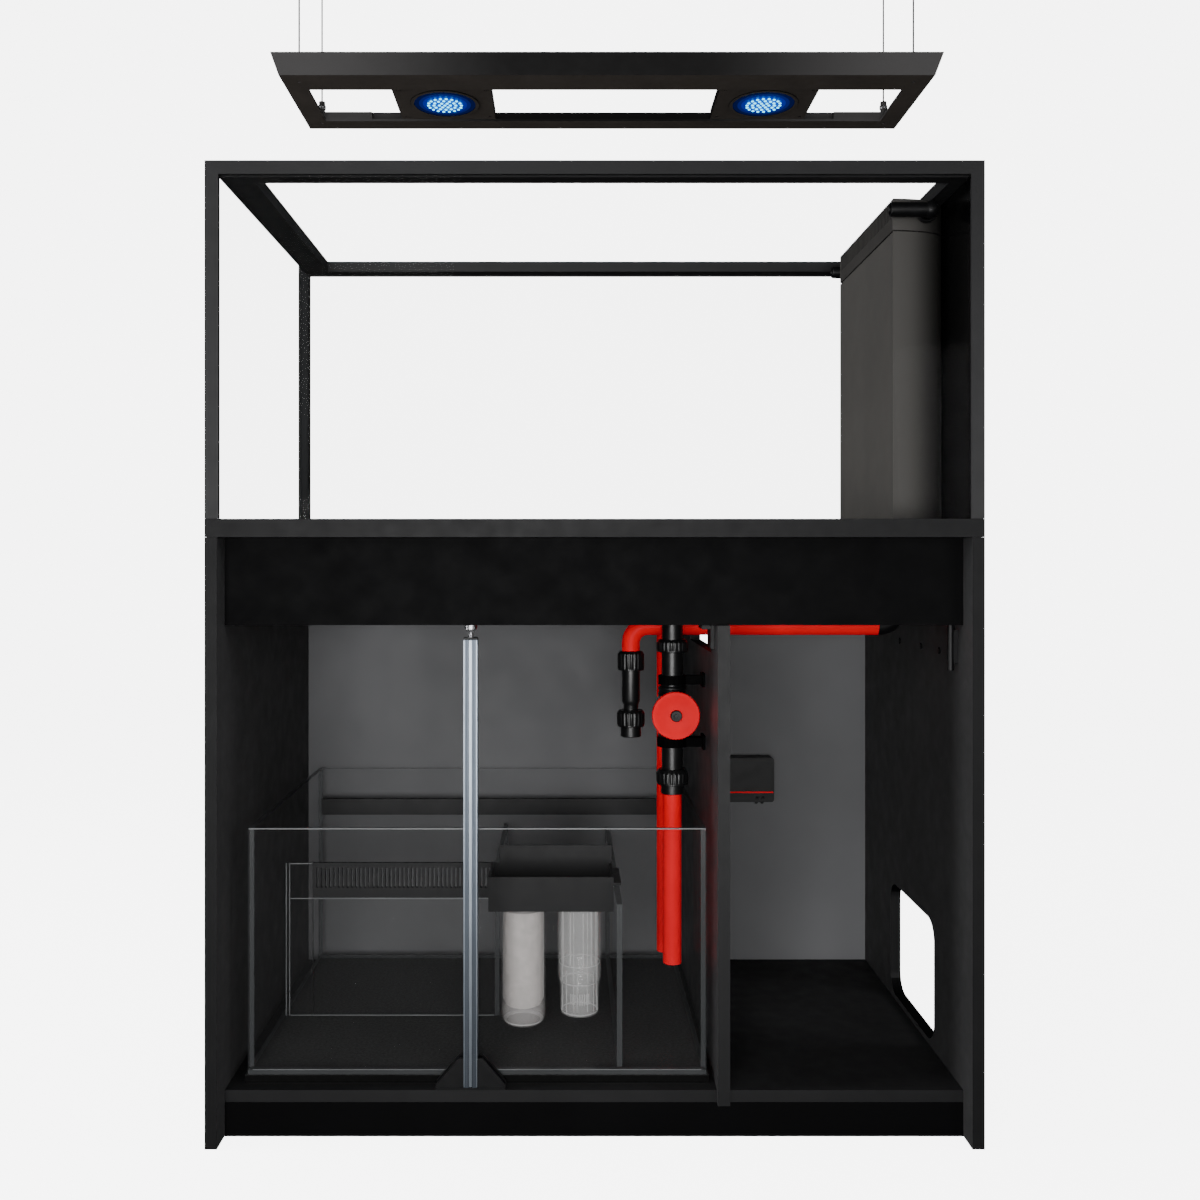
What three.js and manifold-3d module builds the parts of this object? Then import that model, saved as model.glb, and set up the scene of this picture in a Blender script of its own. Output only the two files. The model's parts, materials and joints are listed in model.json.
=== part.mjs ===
// A reef aquarium on a cabinet stand, with its sump, its plumbing and its hanging light.
// Millimetres, +Z up. X runs to the viewer's right and Y runs away from the viewer.
// Pieces are placed by their distance behind the stand's front edge. The whole group then
// moves forward by half its depth, which puts its origin under the middle of the stand.

import * as THREE from 'three';
import { mergeVertices } from 'three/addons/utils/BufferGeometryUtils.js';
import Module from 'manifold-3d';

const wasm = await Module();
wasm.setup();

// ---- driving dimensions ----

const GAP = 0.3; // between pieces that touch
const WIDTH = 1200;
const DEPTH = 650;

const BOARD = 19; // cabinet board
const BACK_BOARD = 12;
const STAND_TOP = 941.5;
const SETBACK = 40.7; // fascia, floor and plinth behind the side panels' front edges
const FLOOR_TOP = 73;
const FASCIA_BOTTOM = 804;
const DIVIDER_X = 193.2; // left face of the divider
const DIVIDER_FRONT = 27;

const GLASS = 12;
const TANK_TOP = 1521.2;
const TRIM = 21; // visible width of the tank's trim
const TRIM_THICK = 4;
const BASE_HEIGHT = 28.2;

const OVERFLOW = { x: 491, y: [114, 480], top: 1498, wall: 5, sill: 1446 };

const PIPE_R = 16;
const DRAIN_R = 18;
const RISER = { x: 545, y: 290, runZ: 788.5 }; // the return line
const DRAIN = { x: 540, y: 209, top: 1400 };
const EMERGENCY = { x: 540, y: 345, top: 1440, bottom: 191 };
const DRAIN_RUN_Z = 860; // level runs of both drains
const STACK_X = 138.5; // where both drains drop to the sump
const UNION_X = 72; // where the return line drops to its union
const NOZZLE_Z = 1473;

const SUMP = { x: [-552, 180], y: [68, 610], z: [85.3, 478], glass: 8 };
const CUP_Y = 236;
const CUP_X = { filter_cup: -118, media_cup: -20.4 };
const TRAY_FLOOR = 309;

const LIGHT_X = 26; // middle of the light
const LIGHT_Y = 325;
const LIGHT_BOTTOM = 1736;
const LIGHT_TOP = 1771;
const CEILING = 2012;

const ROUND = 20; // sides of a round piece
const TAU = 2 * Math.PI;

// ---- materials ----

const material = (color, roughness, metalness = 0, opacity = 1) =>
  new THREE.MeshStandardMaterial({ color, roughness, metalness, opacity, transparent: opacity < 1 });

const laminate = material('#1d1d1f', 0.6);
const backing = material('#3d3e40', 0.7);
const trim = material('#343437', 0.5);
const blackPlastic = material('#141416', 0.45);
const redPlastic = material('#d8231f', 0.35);
const clearGlass = material('#dfeeee', 0.05, 0, 0.25);
const blackGlass = material('#101113', 0.15);
const clearPlastic = material('#e6eaea', 0.1, 0, 0.4);
const aluminium = material('#b9bcc0', 0.35, 0.9);
const lightMetal = material('#222224', 0.4, 0.6);
const steel = material('#9a9c9f', 0.3, 1);
const foam = material('#19191a', 0.95);
const pivotGrey = material('#8e9093', 0.5);

// ---- shape helpers ----

const toSolid = (shape) => {
  if (!shape.isBufferGeometry) return shape;
  const bare = shape.clone();
  bare.deleteAttribute('normal');
  bare.deleteAttribute('uv');
  const merged = mergeVertices(bare, 1e-4);
  return new wasm.Manifold(new wasm.Mesh({
    numProp: 3,
    vertProperties: merged.attributes.position.array,
    triVerts: new Uint32Array(merged.index.array),
  }));
};

const toGeometry = (shape) => {
  if (shape.isBufferGeometry) return shape;
  const mesh = shape.getMesh();
  const geometry = new THREE.BufferGeometry();
  geometry.setAttribute('position', new THREE.BufferAttribute(mesh.vertProperties, 3));
  geometry.setIndex(new THREE.BufferAttribute(mesh.triVerts, 1));
  geometry.computeVertexNormals();
  return geometry;
};

const join = (...shapes) => shapes.map(toSolid).reduce((a, b) => a.add(b));
const cut = (shape, ...tools) => tools.map(toSolid).reduce((a, b) => a.subtract(b), toSolid(shape));

const block = ([x0, x1], [y0, y1], [z0, z1]) =>
  new THREE.BoxGeometry(x1 - x0, y1 - y0, z1 - z0)
    .translate((x0 + x1) / 2, (y0 + y1) / 2, (z0 + z1) / 2);

const rodX = (radius, [x0, x1], sides = ROUND) =>
  new THREE.CylinderGeometry(radius, radius, x1 - x0, sides)
    .rotateZ(Math.PI / 2)
    .translate((x0 + x1) / 2, 0, 0);

const rodY = (radius, [y0, y1], sides = ROUND) =>
  new THREE.CylinderGeometry(radius, radius, y1 - y0, sides)
    .translate(0, (y0 + y1) / 2, 0);

const rodZ = (radius, [z0, z1], sides = ROUND) =>
  new THREE.CylinderGeometry(radius, radius, z1 - z0, sides)
    .rotateX(Math.PI / 2)
    .translate(0, 0, (z0 + z1) / 2);

// Profiles are [radius, height] pairs, from the bottom, round the outside, to the top.
const lathe = (profile, sides = ROUND) =>
  new THREE.LatheGeometry(profile.map(([r, h]) => new THREE.Vector2(r, h)), sides);
const latheZ = (profile, sides) => lathe(profile, sides).rotateX(Math.PI / 2);

const polygon = (points) => new THREE.Shape(points.map(([a, b]) => new THREE.Vector2(a, b)));

const rectangle = ([a0, a1], [b0, b1], radius = 0) => {
  if (!radius) return polygon([[a0, b0], [a1, b0], [a1, b1], [a0, b1]]);
  const shape = new THREE.Shape();
  shape.absarc(a1 - radius, b0 + radius, radius, -TAU / 4, 0);
  shape.absarc(a1 - radius, b1 - radius, radius, 0, TAU / 4);
  shape.absarc(a0 + radius, b1 - radius, radius, TAU / 4, TAU / 2);
  shape.absarc(a0 + radius, b0 + radius, radius, TAU / 2, 0.75 * TAU);
  return shape;
};

const withHoles = (shape, ...holes) => {
  shape.holes.push(...holes);
  return shape;
};

const extrude = (shape, depth) =>
  new THREE.ExtrudeGeometry(shape, { depth, bevelEnabled: false, curveSegments: 6 });

const alongZ = (shape, [z0, z1]) => extrude(shape, z1 - z0).translate(0, 0, z0);

// A shape drawn in Y and Z, extruded along X.
const alongX = (shape, [x0, x1]) =>
  extrude(shape, x1 - x0)
    .applyMatrix4(new THREE.Matrix4().makeBasis(
      new THREE.Vector3(0, 1, 0), new THREE.Vector3(0, 0, 1), new THREE.Vector3(1, 0, 0)))
    .translate(x0, 0, 0);

// A shape drawn in X and Z, extruded along Y.
const alongY = (shape, [y0, y1]) =>
  extrude(shape, y1 - y0).rotateX(Math.PI / 2).translate(0, y1, 0);

// A box whose bottom and top are different rectangles.
const taperedBlock = (bottom, top, [z0, z1]) => {
  const geometry = new THREE.BoxGeometry(1, 1, 1);
  const place = geometry.attributes.position;
  for (let i = 0; i < place.count; i += 1) {
    const high = place.getZ(i) > 0;
    const [x, y] = high ? top : bottom;
    place.setXYZ(i, x[place.getX(i) > 0 ? 1 : 0], y[place.getY(i) > 0 ? 1 : 0], high ? z1 : z0);
  }
  return geometry;
};

// A quarter turn that starts at centre + radius * from and ends at centre + radius * to.
class Bend extends THREE.Curve {
  constructor(centre, from, to, radius) {
    super();
    Object.assign(this, { centre, from, to, radius });
  }

  getPoint(t, target = new THREE.Vector3()) {
    const angle = t * Math.PI / 2;
    return target.copy(this.centre)
      .addScaledVector(this.from, this.radius * Math.cos(angle))
      .addScaledVector(this.to, this.radius * Math.sin(angle));
  }
}

const RIGHT = new THREE.Vector3(1, 0, 0);
const LEFT = new THREE.Vector3(-1, 0, 0);
const UP = new THREE.Vector3(0, 0, 1);
const DOWN = new THREE.Vector3(0, 0, -1);

// An elbow in the XZ plane, whose centre of bend is at (x, z).
const elbow = (pipeRadius, bendRadius, x, z, from, to) => {
  const section = new THREE.Shape().absarc(0, 0, pipeRadius, 0, TAU);
  const extrudePath = new Bend(new THREE.Vector3(x, 0, z), from, to, bendRadius);
  return new THREE.ExtrudeGeometry(section, { steps: 6, curveSegments: ROUND / 2, extrudePath });
};

// A spread of n places with the same pitch, centred on the middle.
const spread = (n, pitch, middle = 0) =>
  Array.from({ length: n }, (_, i) => middle + (i - (n - 1) / 2) * pitch);

const aquarium = new THREE.Group();
aquarium.position.y = -DEPTH / 2;

const add = (name, shape, look, place = [0, 0, 0]) => {
  const mesh = new THREE.Mesh(toGeometry(shape), look.clone());
  mesh.name = name;
  mesh.position.set(...place);
  aquarium.add(mesh);
};

// ---- cabinet ----

const inside = WIDTH / 2 - BOARD; // from the middle to a side panel's inner face
const innerX = [-inside + GAP, inside - GAP];
const backFace = DEPTH - BACK_BOARD;
const behindFascia = SETBACK + BOARD + GAP;
const topUnderside = STAND_TOP - BOARD;

const sideOutline = () => rectangle([0, DEPTH], [0, STAND_TOP]);
const cableWindow = rectangle([187, 449], [82, 291], 35);
add('left_side_panel', alongX(sideOutline(), [-WIDTH / 2, -inside]), laminate);
add('right_side_panel', alongX(withHoles(sideOutline(), cableWindow), [inside, WIDTH / 2]), laminate);

add('plinth', block(innerX, [SETBACK, SETBACK + BOARD], [0, FLOOR_TOP - BOARD - GAP]), laminate);
add('floor_panel', block(innerX, [SETBACK, backFace - GAP], [FLOOR_TOP - BOARD, FLOOR_TOP]), laminate);
add('front_fascia', block(innerX, [SETBACK, SETBACK + BOARD], [FASCIA_BOTTOM, STAND_TOP]), laminate);

const cableHole = rectangle([236, 262], [731, 753], 3);
add('back_panel',
  alongY(withHoles(rectangle(innerX, [0, STAND_TOP]), cableHole), [backFace, DEPTH]), backing);

const pipeCutout = rectangle([495, 575], [170, 390], 12);
add('top_panel', alongZ(
  withHoles(rectangle(innerX, [behindFascia, backFace - GAP]), pipeCutout),
  [topUnderside, STAND_TOP]), laminate);

// The divider stands on the floor, and its front nose covers the floor's edge.
// A deep notch in its top lets the pipes through.
const noseBack = SETBACK - GAP;
const dividerTop = topUnderside - GAP;
const notch = { y: [110, 430], z: 755 };
add('divider_panel', alongX(polygon([
  [DIVIDER_FRONT, FLOOR_TOP - BOARD],
  [noseBack, FLOOR_TOP - BOARD],
  [noseBack, FLOOR_TOP + GAP],
  [backFace - GAP, FLOOR_TOP + GAP],
  [backFace - GAP, dividerTop],
  [notch.y[1], dividerTop],
  [notch.y[1], notch.z],
  [notch.y[0], notch.z],
  [notch.y[0], dividerTop],
  [behindFascia, dividerTop],
  [behindFascia, FASCIA_BOTTOM - GAP],
  [DIVIDER_FRONT, FASCIA_BOTTOM - GAP],
]), [DIVIDER_X, DIVIDER_X + BOARD]), laminate);

// The pivot that a lift-off door leaves behind, clipped to the right panel.
add('door_pivot', join(
  rodZ(5.7, [0, 72.5], 20),
  block([0, inside - GAP - 570], [-4, 4], [12, 64]),
), pivotGrey, [570, 70, 730.5]);

// ---- centre post, which carries the fascia ----

const POST = { x: -194.5, y: 52, half: 11, z: [76.3, 780.6] };
const POST_BORE = 4.5;
const FOOT_TOP = 76;

// One quarter of a square bar that has a T-slot in each face.
const postQuarter = (half) => {
  const mouth = 3;
  const slot = 4.6;
  const lip = half - 2;
  const core = 6.2;
  return [
    [core, slot], [lip, slot], [lip, mouth], [half, mouth], [half, half],
    [mouth, half], [mouth, lip], [slot, lip], [slot, core],
  ];
};
const quarterTurns = [[1, 0], [0, 1], [-1, 0], [0, -1]];
const postOutline = quarterTurns.flatMap(([cos, sin]) =>
  postQuarter(POST.half).map(([x, y]) => [x * cos - y * sin, x * sin + y * cos]));
const postBore = new THREE.Path().absarc(0, 0, POST_BORE, 0, TAU);
add('support_post', alongZ(withHoles(polygon(postOutline), postBore), POST.z), aluminium,
  [POST.x, POST.y, 0]);

// A foot plate with two gussets on each side of the post.
const FOOT_REACH = 55;
const gusset = (side, y) => alongY(polygon([
  [side * (POST.half + GAP), FOOT_TOP - 1],
  [side * FOOT_REACH, FOOT_TOP - 1],
  [side * FOOT_REACH, FOOT_TOP + 4],
  [side * (POST.half + 8), 122],
  [side * (POST.half + GAP), 122],
]), [y - 2, y + 2]);
add('post_foot', join(
  block([-FOOT_REACH, FOOT_REACH], [-POST.half, POST.half], [FLOOR_TOP + GAP, FOOT_TOP]),
  ...[-1, 1].flatMap((side) => [-8, 8].map((y) => gusset(side, y))),
), blackPlastic, [POST.x, POST.y, 0]);

// The screw that lifts the fascia stands in the post's bore, through a cap.
add('post_cap', cut(
  block([-POST.half, POST.half], [-POST.half, POST.half], [780.9, 784]),
  rodZ(POST_BORE, [700, 800], 20),
), blackPlastic, [POST.x, POST.y, 0]);
add('post_adjuster', join(
  rodZ(4, [741, 793], 16),
  rodZ(7, [792, 798], 6),
  rodZ(10, [797, FASCIA_BOTTOM - GAP], 24),
), steel, [POST.x, POST.y, 0]);

// ---- tank ----

const outerX = WIDTH / 2;
const wall = TRIM_THICK + GAP; // a pane's outer face behind the trim's
const glassX = outerX - wall;
const baseBottom = STAND_TOP + GAP;
const baseTop = baseBottom + BASE_HEIGHT;
const baseFloor = baseBottom + 3.7;
const bottomGlass = [baseFloor + GAP, baseFloor + GAP + GLASS];
const paneBottom = bottomGlass[1] + GAP;
const paneX = [-glassX, glassX];

const pipeHole = ({ x, y }, radius) => rodZ(radius + GAP, [900, 1000], 24).translate(x, y, 0);
const pipeHoles = () => [pipeHole(RISER, PIPE_R), pipeHole(DRAIN, DRAIN_R), pipeHole(EMERGENCY, PIPE_R)];
add('base_tray', cut(
  block([-outerX, outerX], [0, DEPTH], [baseBottom, baseTop]),
  block([-outerX + TRIM_THICK, outerX - TRIM_THICK], [TRIM_THICK, DEPTH - TRIM_THICK], [baseFloor, 1000]),
  ...pipeHoles(),
), trim);
add('bottom_glass', cut(block(paneX, [wall, DEPTH - wall], bottomGlass), ...pipeHoles()), clearGlass);

const longPane = (y) => block(paneX, [y, y + GLASS], [paneBottom, TANK_TOP]);
add('front_glass', longPane(wall), clearGlass);
add('rear_glass', longPane(DEPTH - wall - GLASS), clearGlass);

const betweenPanes = [wall + GLASS + GAP, DEPTH - wall - GLASS - GAP];
const endPane = (x) => block([x, x + GLASS], betweenPanes, [paneBottom, TANK_TOP]);
add('left_glass', endPane(-glassX), clearGlass);
add('right_glass', endPane(glassX - GLASS), blackGlass);

// An upside-down U on the outside of a long pane, which turns each corner of the tank.
const trimFrame = (faceY, returnY) => join(
  alongY(polygon([
    [-outerX, baseTop + GAP], [-outerX + TRIM, baseTop + GAP],
    [-outerX + TRIM, TANK_TOP - TRIM], [outerX - TRIM, TANK_TOP - TRIM],
    [outerX - TRIM, baseTop + GAP], [outerX, baseTop + GAP],
    [outerX, TANK_TOP], [-outerX, TANK_TOP],
  ]), faceY),
  ...[[-outerX, -outerX + TRIM_THICK], [outerX - TRIM_THICK, outerX]]
    .map((x) => block(x, returnY, [baseTop + GAP, TANK_TOP])),
);
add('front_trim', trimFrame([0, TRIM_THICK], [0, TRIM]), trim);
add('rear_trim', trimFrame([DEPTH - TRIM_THICK, DEPTH], [DEPTH - TRIM, DEPTH]), trim);

const braceX = glassX - GLASS - GAP;
add('top_brace', alongZ(withHoles(
  rectangle([-braceX, braceX], betweenPanes),
  rectangle([-534, 559], [46, 606]),
), [TANK_TOP - 20.7, TANK_TOP]), trim);

// ---- overflow box ----

const MANIFOLD_R = 13;
const boxX = [OVERFLOW.x, OVERFLOW.x + OVERFLOW.wall];
const boxEndWall = (y) =>
  block([OVERFLOW.x, braceX], [y, y + OVERFLOW.wall], [paneBottom, OVERFLOW.top]);
add('overflow_box', cut(
  join(
    boxEndWall(OVERFLOW.y[0]),
    boxEndWall(OVERFLOW.y[1] - OVERFLOW.wall),
    block(boxX, OVERFLOW.y, [paneBottom, OVERFLOW.sill]),
  ),
  rodY(MANIFOLD_R + GAP, [0, DEPTH]).translate(RISER.x, 0, NOZZLE_Z),
), blackPlastic);

// The weir comb drops between the box's end walls, on to its sill.
const combY = [OVERFLOW.y[0] + OVERFLOW.wall + 0.6, OVERFLOW.y[1] - OVERFLOW.wall - 0.6];
const TOOTH_GAP = 5;
const combTeeth = spread(38, 9, (combY[0] + combY[1]) / 2).map((y) => [
  [y - TOOTH_GAP / 2, OVERFLOW.top], [y - TOOTH_GAP / 2, OVERFLOW.top - 30],
  [y + TOOTH_GAP / 2, OVERFLOW.top - 30], [y + TOOTH_GAP / 2, OVERFLOW.top],
]);
add('overflow_comb', alongX(polygon([
  [combY[1], OVERFLOW.sill + GAP],
  [combY[0], OVERFLOW.sill + GAP],
  [combY[0], OVERFLOW.top],
  ...combTeeth.flat(),
  [combY[1], OVERFLOW.top],
].reverse()), boxX), blackPlastic);

// ---- return line ----

const RETURN_BEND = 28;
const RED_END = 512; // where the red pipe meets the black elbow
const ringY = [OVERFLOW.y[0] - 7.4, OVERFLOW.y[1] + 7.4];
const corner = RISER.runZ + RETURN_BEND;
add('return_riser', join(
  rodX(PIPE_R, [RED_END + GAP - RISER.x, -RETURN_BEND + 0.1]).translate(0, 0, RISER.runZ),
  elbow(PIPE_R, RETURN_BEND, -RETURN_BEND, corner, DOWN, RIGHT),
  rodZ(PIPE_R, [corner - 0.1, NOZZLE_Z]),
  rodY(MANIFOLD_R, [ringY[0] - RISER.y, ringY[1] - RISER.y]).translate(0, 0, NOZZLE_Z),
  rodY(PIPE_R, [ringY[0] - RISER.y, OVERFLOW.y[0] - GAP - RISER.y]).translate(0, 0, NOZZLE_Z),
  rodY(PIPE_R, [OVERFLOW.y[1] + GAP - RISER.y, ringY[1] - RISER.y]).translate(0, 0, NOZZLE_Z),
), blackPlastic, [RISER.x, RISER.y, 0]);

// A nozzle yaws on its ball, at the end of the riser's cross tube.
const BALL_R = 14;
const NOZZLE_LENGTH = 65;
const nozzle = () => cut(
  join(
    new THREE.SphereGeometry(BALL_R, 16, 10),
    rodX(12, [-NOZZLE_LENGTH, 0], 20),
  ),
  rodX(8, [-NOZZLE_LENGTH - 1, -NOZZLE_LENGTH + 35], 16),
);
add('front_nozzle', nozzle(), blackPlastic, [RISER.x, ringY[0] - BALL_R - 0.6, NOZZLE_Z]);
add('rear_nozzle', nozzle(), blackPlastic, [RISER.x, ringY[1] + BALL_R + 0.6, NOZZLE_Z]);

// The red pipe runs level through the divider, then turns down into the union.
const RED_BEND = 30;
const UNION = { top: 744.1, nutBottom: 709.8, pipeEnd: 728 };
add('return_pipe', join(
  rodX(PIPE_R, [RED_BEND - 0.1, RED_END - UNION_X]).translate(0, 0, RISER.runZ),
  elbow(PIPE_R, RED_BEND, RED_BEND, RISER.runZ - RED_BEND, UP, LEFT),
  rodZ(PIPE_R, [UNION.pipeEnd, RISER.runZ - RED_BEND + 0.1]),
), redPlastic, [UNION_X, RISER.y, 0]);

// A union nut: a ring with grip ribs round it, chamfered at both ends.
const unionNut = (radius, bore, [z0, z1], ribs = 12) => cut(
  join(
    latheZ([[0, z0], [radius - 2, z0], [radius, z0 + 2], [radius, z1 - 3], [radius - 3, z1], [0, z1]]),
    ...Array.from({ length: ribs }, (_, i) =>
      rodZ(1.3, [z0 + 2.5, z1 - 3.5], 4).translate(radius - 0.4, 0, 0).rotateZ(i * TAU / ribs)),
  ),
  rodZ(bore, [z0 - 1, z1 + 1]),
);
add('return_upper_nut', unionNut(22.9, PIPE_R + GAP, [UNION.nutBottom, UNION.top]), blackPlastic,
  [UNION_X, RISER.y, 0]);

// The tailpiece tapers from the union down to a hose end. Its own nut sits on the end's flange.
const NECK_R = 13.1;
const LOWER_NUT = [609.7, 639];
add('return_adapter', cut(
  latheZ([
    [0, 591.3], [18.3, 591.3], [18.3, LOWER_NUT[0] - GAP], [NECK_R, LOWER_NUT[0] - GAP],
    [NECK_R, 647], [16, 655], [16, UNION.pipeEnd - GAP], [0, UNION.pipeEnd - GAP],
  ]),
  rodZ(10, [590, 621], 24),
), blackPlastic, [UNION_X, RISER.y, 0]);
add('return_lower_nut', unionNut(24, NECK_R + GAP, LOWER_NUT), blackPlastic, [UNION_X, RISER.y, 0]);

// ---- drains ----

// A drain drops from the overflow box, runs level through the divider, then drops to the sump.
const DRAIN_BEND = 40;
const drain = (radius, dropX, top, bottom) => join(
  rodZ(radius, [DRAIN_RUN_Z + DRAIN_BEND - 0.1, top]),
  elbow(radius, DRAIN_BEND, -DRAIN_BEND, DRAIN_RUN_Z + DRAIN_BEND, DOWN, RIGHT),
  rodX(radius, [dropX + DRAIN_BEND - 0.1, -DRAIN_BEND + 0.1]).translate(0, 0, DRAIN_RUN_Z),
  elbow(radius, DRAIN_BEND, dropX + DRAIN_BEND, DRAIN_RUN_Z - DRAIN_BEND, UP, LEFT),
  rodZ(radius, [bottom, DRAIN_RUN_Z - DRAIN_BEND + 0.1]).translate(dropX, 0, 0),
);
const mouth = (radius, top) => rodZ(radius - 3, [top - 40, top + 1], 24);

// The stack below the main drain, from the upper nut to the open tail.
const STACK = {
  drainEnd: 748.6,
  upperNut: [748.9, 770.2],
  valve: [536, 748.3],
  lowerNut: [522.5, 548.7],
  sleeve: 506.2,
  tail: [216, 535.7],
};
add('drain_run', cut(
  drain(DRAIN_R, STACK_X - DRAIN.x, DRAIN.top, STACK.drainEnd),
  mouth(DRAIN_R, DRAIN.top),
), blackPlastic, [DRAIN.x, DRAIN.y, 0]);
add('emergency_pipe', cut(
  drain(PIPE_R, STACK_X - EMERGENCY.x, EMERGENCY.top, EMERGENCY.bottom),
  mouth(PIPE_R, EMERGENCY.top),
), redPlastic, [EMERGENCY.x, EMERGENCY.y, 0]);

add('drain_upper_nut', unionNut(26.3, DRAIN_R + GAP, STACK.upperNut), blackPlastic,
  [STACK_X, DRAIN.y, 0]);
add('drain_lower_nut', cut(
  join(
    unionNut(26.8, PIPE_R + GAP, STACK.lowerNut),
    cut(rodZ(19.3, [STACK.sleeve, STACK.lowerNut[0] + 3]), rodZ(PIPE_R + GAP, [500, 560])),
  ),
  rodZ(DRAIN_R + GAP, [STACK.valve[0] - GAP, 560]),
), blackPlastic, [STACK_X, DRAIN.y, 0]);
add('drain_tail_pipe', cut(
  rodZ(PIPE_R, STACK.tail),
  rodZ(PIPE_R - 3, [STACK.tail[0] - 1, STACK.tail[0] + 40], 24),
), redPlastic, [STACK_X, DRAIN.y, 0]);

// ---- gate valve ----

const VALVE_Z = 648;
const STEM_R = 4;
const BORE_R = 12;
const GATE_TRAVEL = 22;
add('valve_body', cut(
  join(
    rodZ(DRAIN_R, [STACK.valve[0] - VALVE_Z, STACK.valve[1] - VALVE_Z]),
    rodZ(24, [603 - VALVE_Z, 690 - VALVE_Z]),
    block([-26, 26], [-39, 0], [-26, 26]),
    block([-30, 30], [-47, -38.9], [-30, 30]),
    ...[[-24, -24], [24, -24], [-24, 24], [24, 24]]
      .map(([x, z]) => rodY(3.5, [-49, -46], 6).translate(x, 0, z)),
  ),
  rodZ(BORE_R, [-200, 200], 24),
  block([-14.5, 14.5], [-37, 17.5], [-3, 3]),
  rodY(STEM_R + 0.4, [-60, -33 + GATE_TRAVEL], 20),
), blackPlastic, [STACK_X, DRAIN.y, VALVE_Z]);

// The gate carries a rising stem, which runs out through the hand wheel.
add('valve_gate', join(
  block([-14, 14], [-34.5, -5], [-2.5, 2.5]),
  rodY(STEM_R, [-78, -34], 20),
), steel, [STACK_X, DRAIN.y, VALVE_Z]);

const WHEEL_R = 40;
const wheelNotch = (i) => rodY(2.6, [-80, -50], 6).translate(WHEEL_R + 1.2, 0, 0).rotateY(i * TAU / 16);
add('valve_handle', cut(
  lathe([
    [0, -75], [8, -75], [8, -71], [WHEEL_R - 1.5, -71], [WHEEL_R, -69.5], [WHEEL_R, -62.5],
    [WHEEL_R - 1.5, -61], [8, -61], [8, -47.5], [0, -47.5],
  ], 32),
  rodY(STEM_R + 0.4, [-80, -40], 20),
  ...Array.from({ length: 16 }, (_, i) => wheelNotch(i)),
), redPlastic, [STACK_X, DRAIN.y, VALVE_Z]);

// ---- clamps that hold the drain stack to the divider ----

const clampReach = DIVIDER_X - GAP - STACK_X;
const pipeClamp = (ringR, armHalf, [z0, z1]) => cut(
  join(
    rodZ(ringR, [z0, z1]),
    block([DRAIN_R, clampReach], [-armHalf, armHalf], [z0, z1]),
    block([clampReach - 4, clampReach], [-armHalf - 8, armHalf + 8], [z0 - 4, z1 + 4]),
  ),
  rodZ(DRAIN_R + GAP, [z0 - 1, z1 + 1]),
);
add('pipe_clamp_upper', pipeClamp(24, 8, [693.4, 708.9]), blackPlastic, [STACK_X, DRAIN.y, 0]);
add('pipe_clamp_lower', pipeClamp(26, 12, [587.3, 602.7]), blackPlastic, [STACK_X, DRAIN.y, 0]);

// ---- sump ----

const grow = ([low, high], by) => [low - by, high + by];
const sumpInner = (axis) => grow(SUMP[axis], -SUMP.glass - GAP);
const sumpFloor = SUMP.z[0] + SUMP.glass + GAP;
add('sump_mat',
  block(grow(SUMP.x, 4), grow(SUMP.y, 2), [FLOOR_TOP + GAP, SUMP.z[0] - GAP]), foam);
add('sump_glass', cut(
  block(SUMP.x, SUMP.y, SUMP.z),
  block(grow(SUMP.x, -SUMP.glass), grow(SUMP.y, -SUMP.glass), [SUMP.z[0] + SUMP.glass, 500]),
), clearGlass);

// The skimmer chamber: a front pane, notched for its comb, and a side pane.
const CHAMBER = { y: 286, sideX: -170.5, top: 366, notchX: -496, notchZ: 304 };
const [chamberLeft] = sumpInner('x');
const [sumpFront, sumpBack] = sumpInner('y');
add('chamber_wall', join(
  alongY(polygon([
    [chamberLeft, sumpFloor], [CHAMBER.sideX + 1, sumpFloor], [CHAMBER.sideX + 1, CHAMBER.notchZ],
    [CHAMBER.notchX, CHAMBER.notchZ], [CHAMBER.notchX, CHAMBER.top], [chamberLeft, CHAMBER.top],
  ]), [CHAMBER.y, CHAMBER.y + SUMP.glass]),
  block([CHAMBER.sideX, CHAMBER.sideX + SUMP.glass], [CHAMBER.y, sumpBack], [sumpFloor, CHAMBER.top]),
), clearGlass);

const sumpCombX = [CHAMBER.notchX + GAP, CHAMBER.sideX - GAP];
const combBody = block(sumpCombX, [CHAMBER.y, CHAMBER.y + SUMP.glass], [CHAMBER.notchZ + GAP, CHAMBER.top]);
const sumpSlots = spread(41, 7.7, (sumpCombX[0] + sumpCombX[1]) / 2)
  .map((x) => block([x - 2, x + 2], [CHAMBER.y - 1, CHAMBER.y + SUMP.glass + 1], [322, 357.6]));
add('sump_comb', cut(combBody, ...sumpSlots), blackPlastic);

const INLET = { x: [37.4, 46.4], top: 354 };
add('inlet_wall', block(INLET.x, [sumpFront, sumpBack], [sumpFloor, INLET.top]), clearGlass);
add('rear_brace', block(sumpInner('x'), [sumpBack - 9.7, sumpBack], [385, 417]), blackPlastic);

// ---- filter cups and the tray they hang in ----

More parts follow.
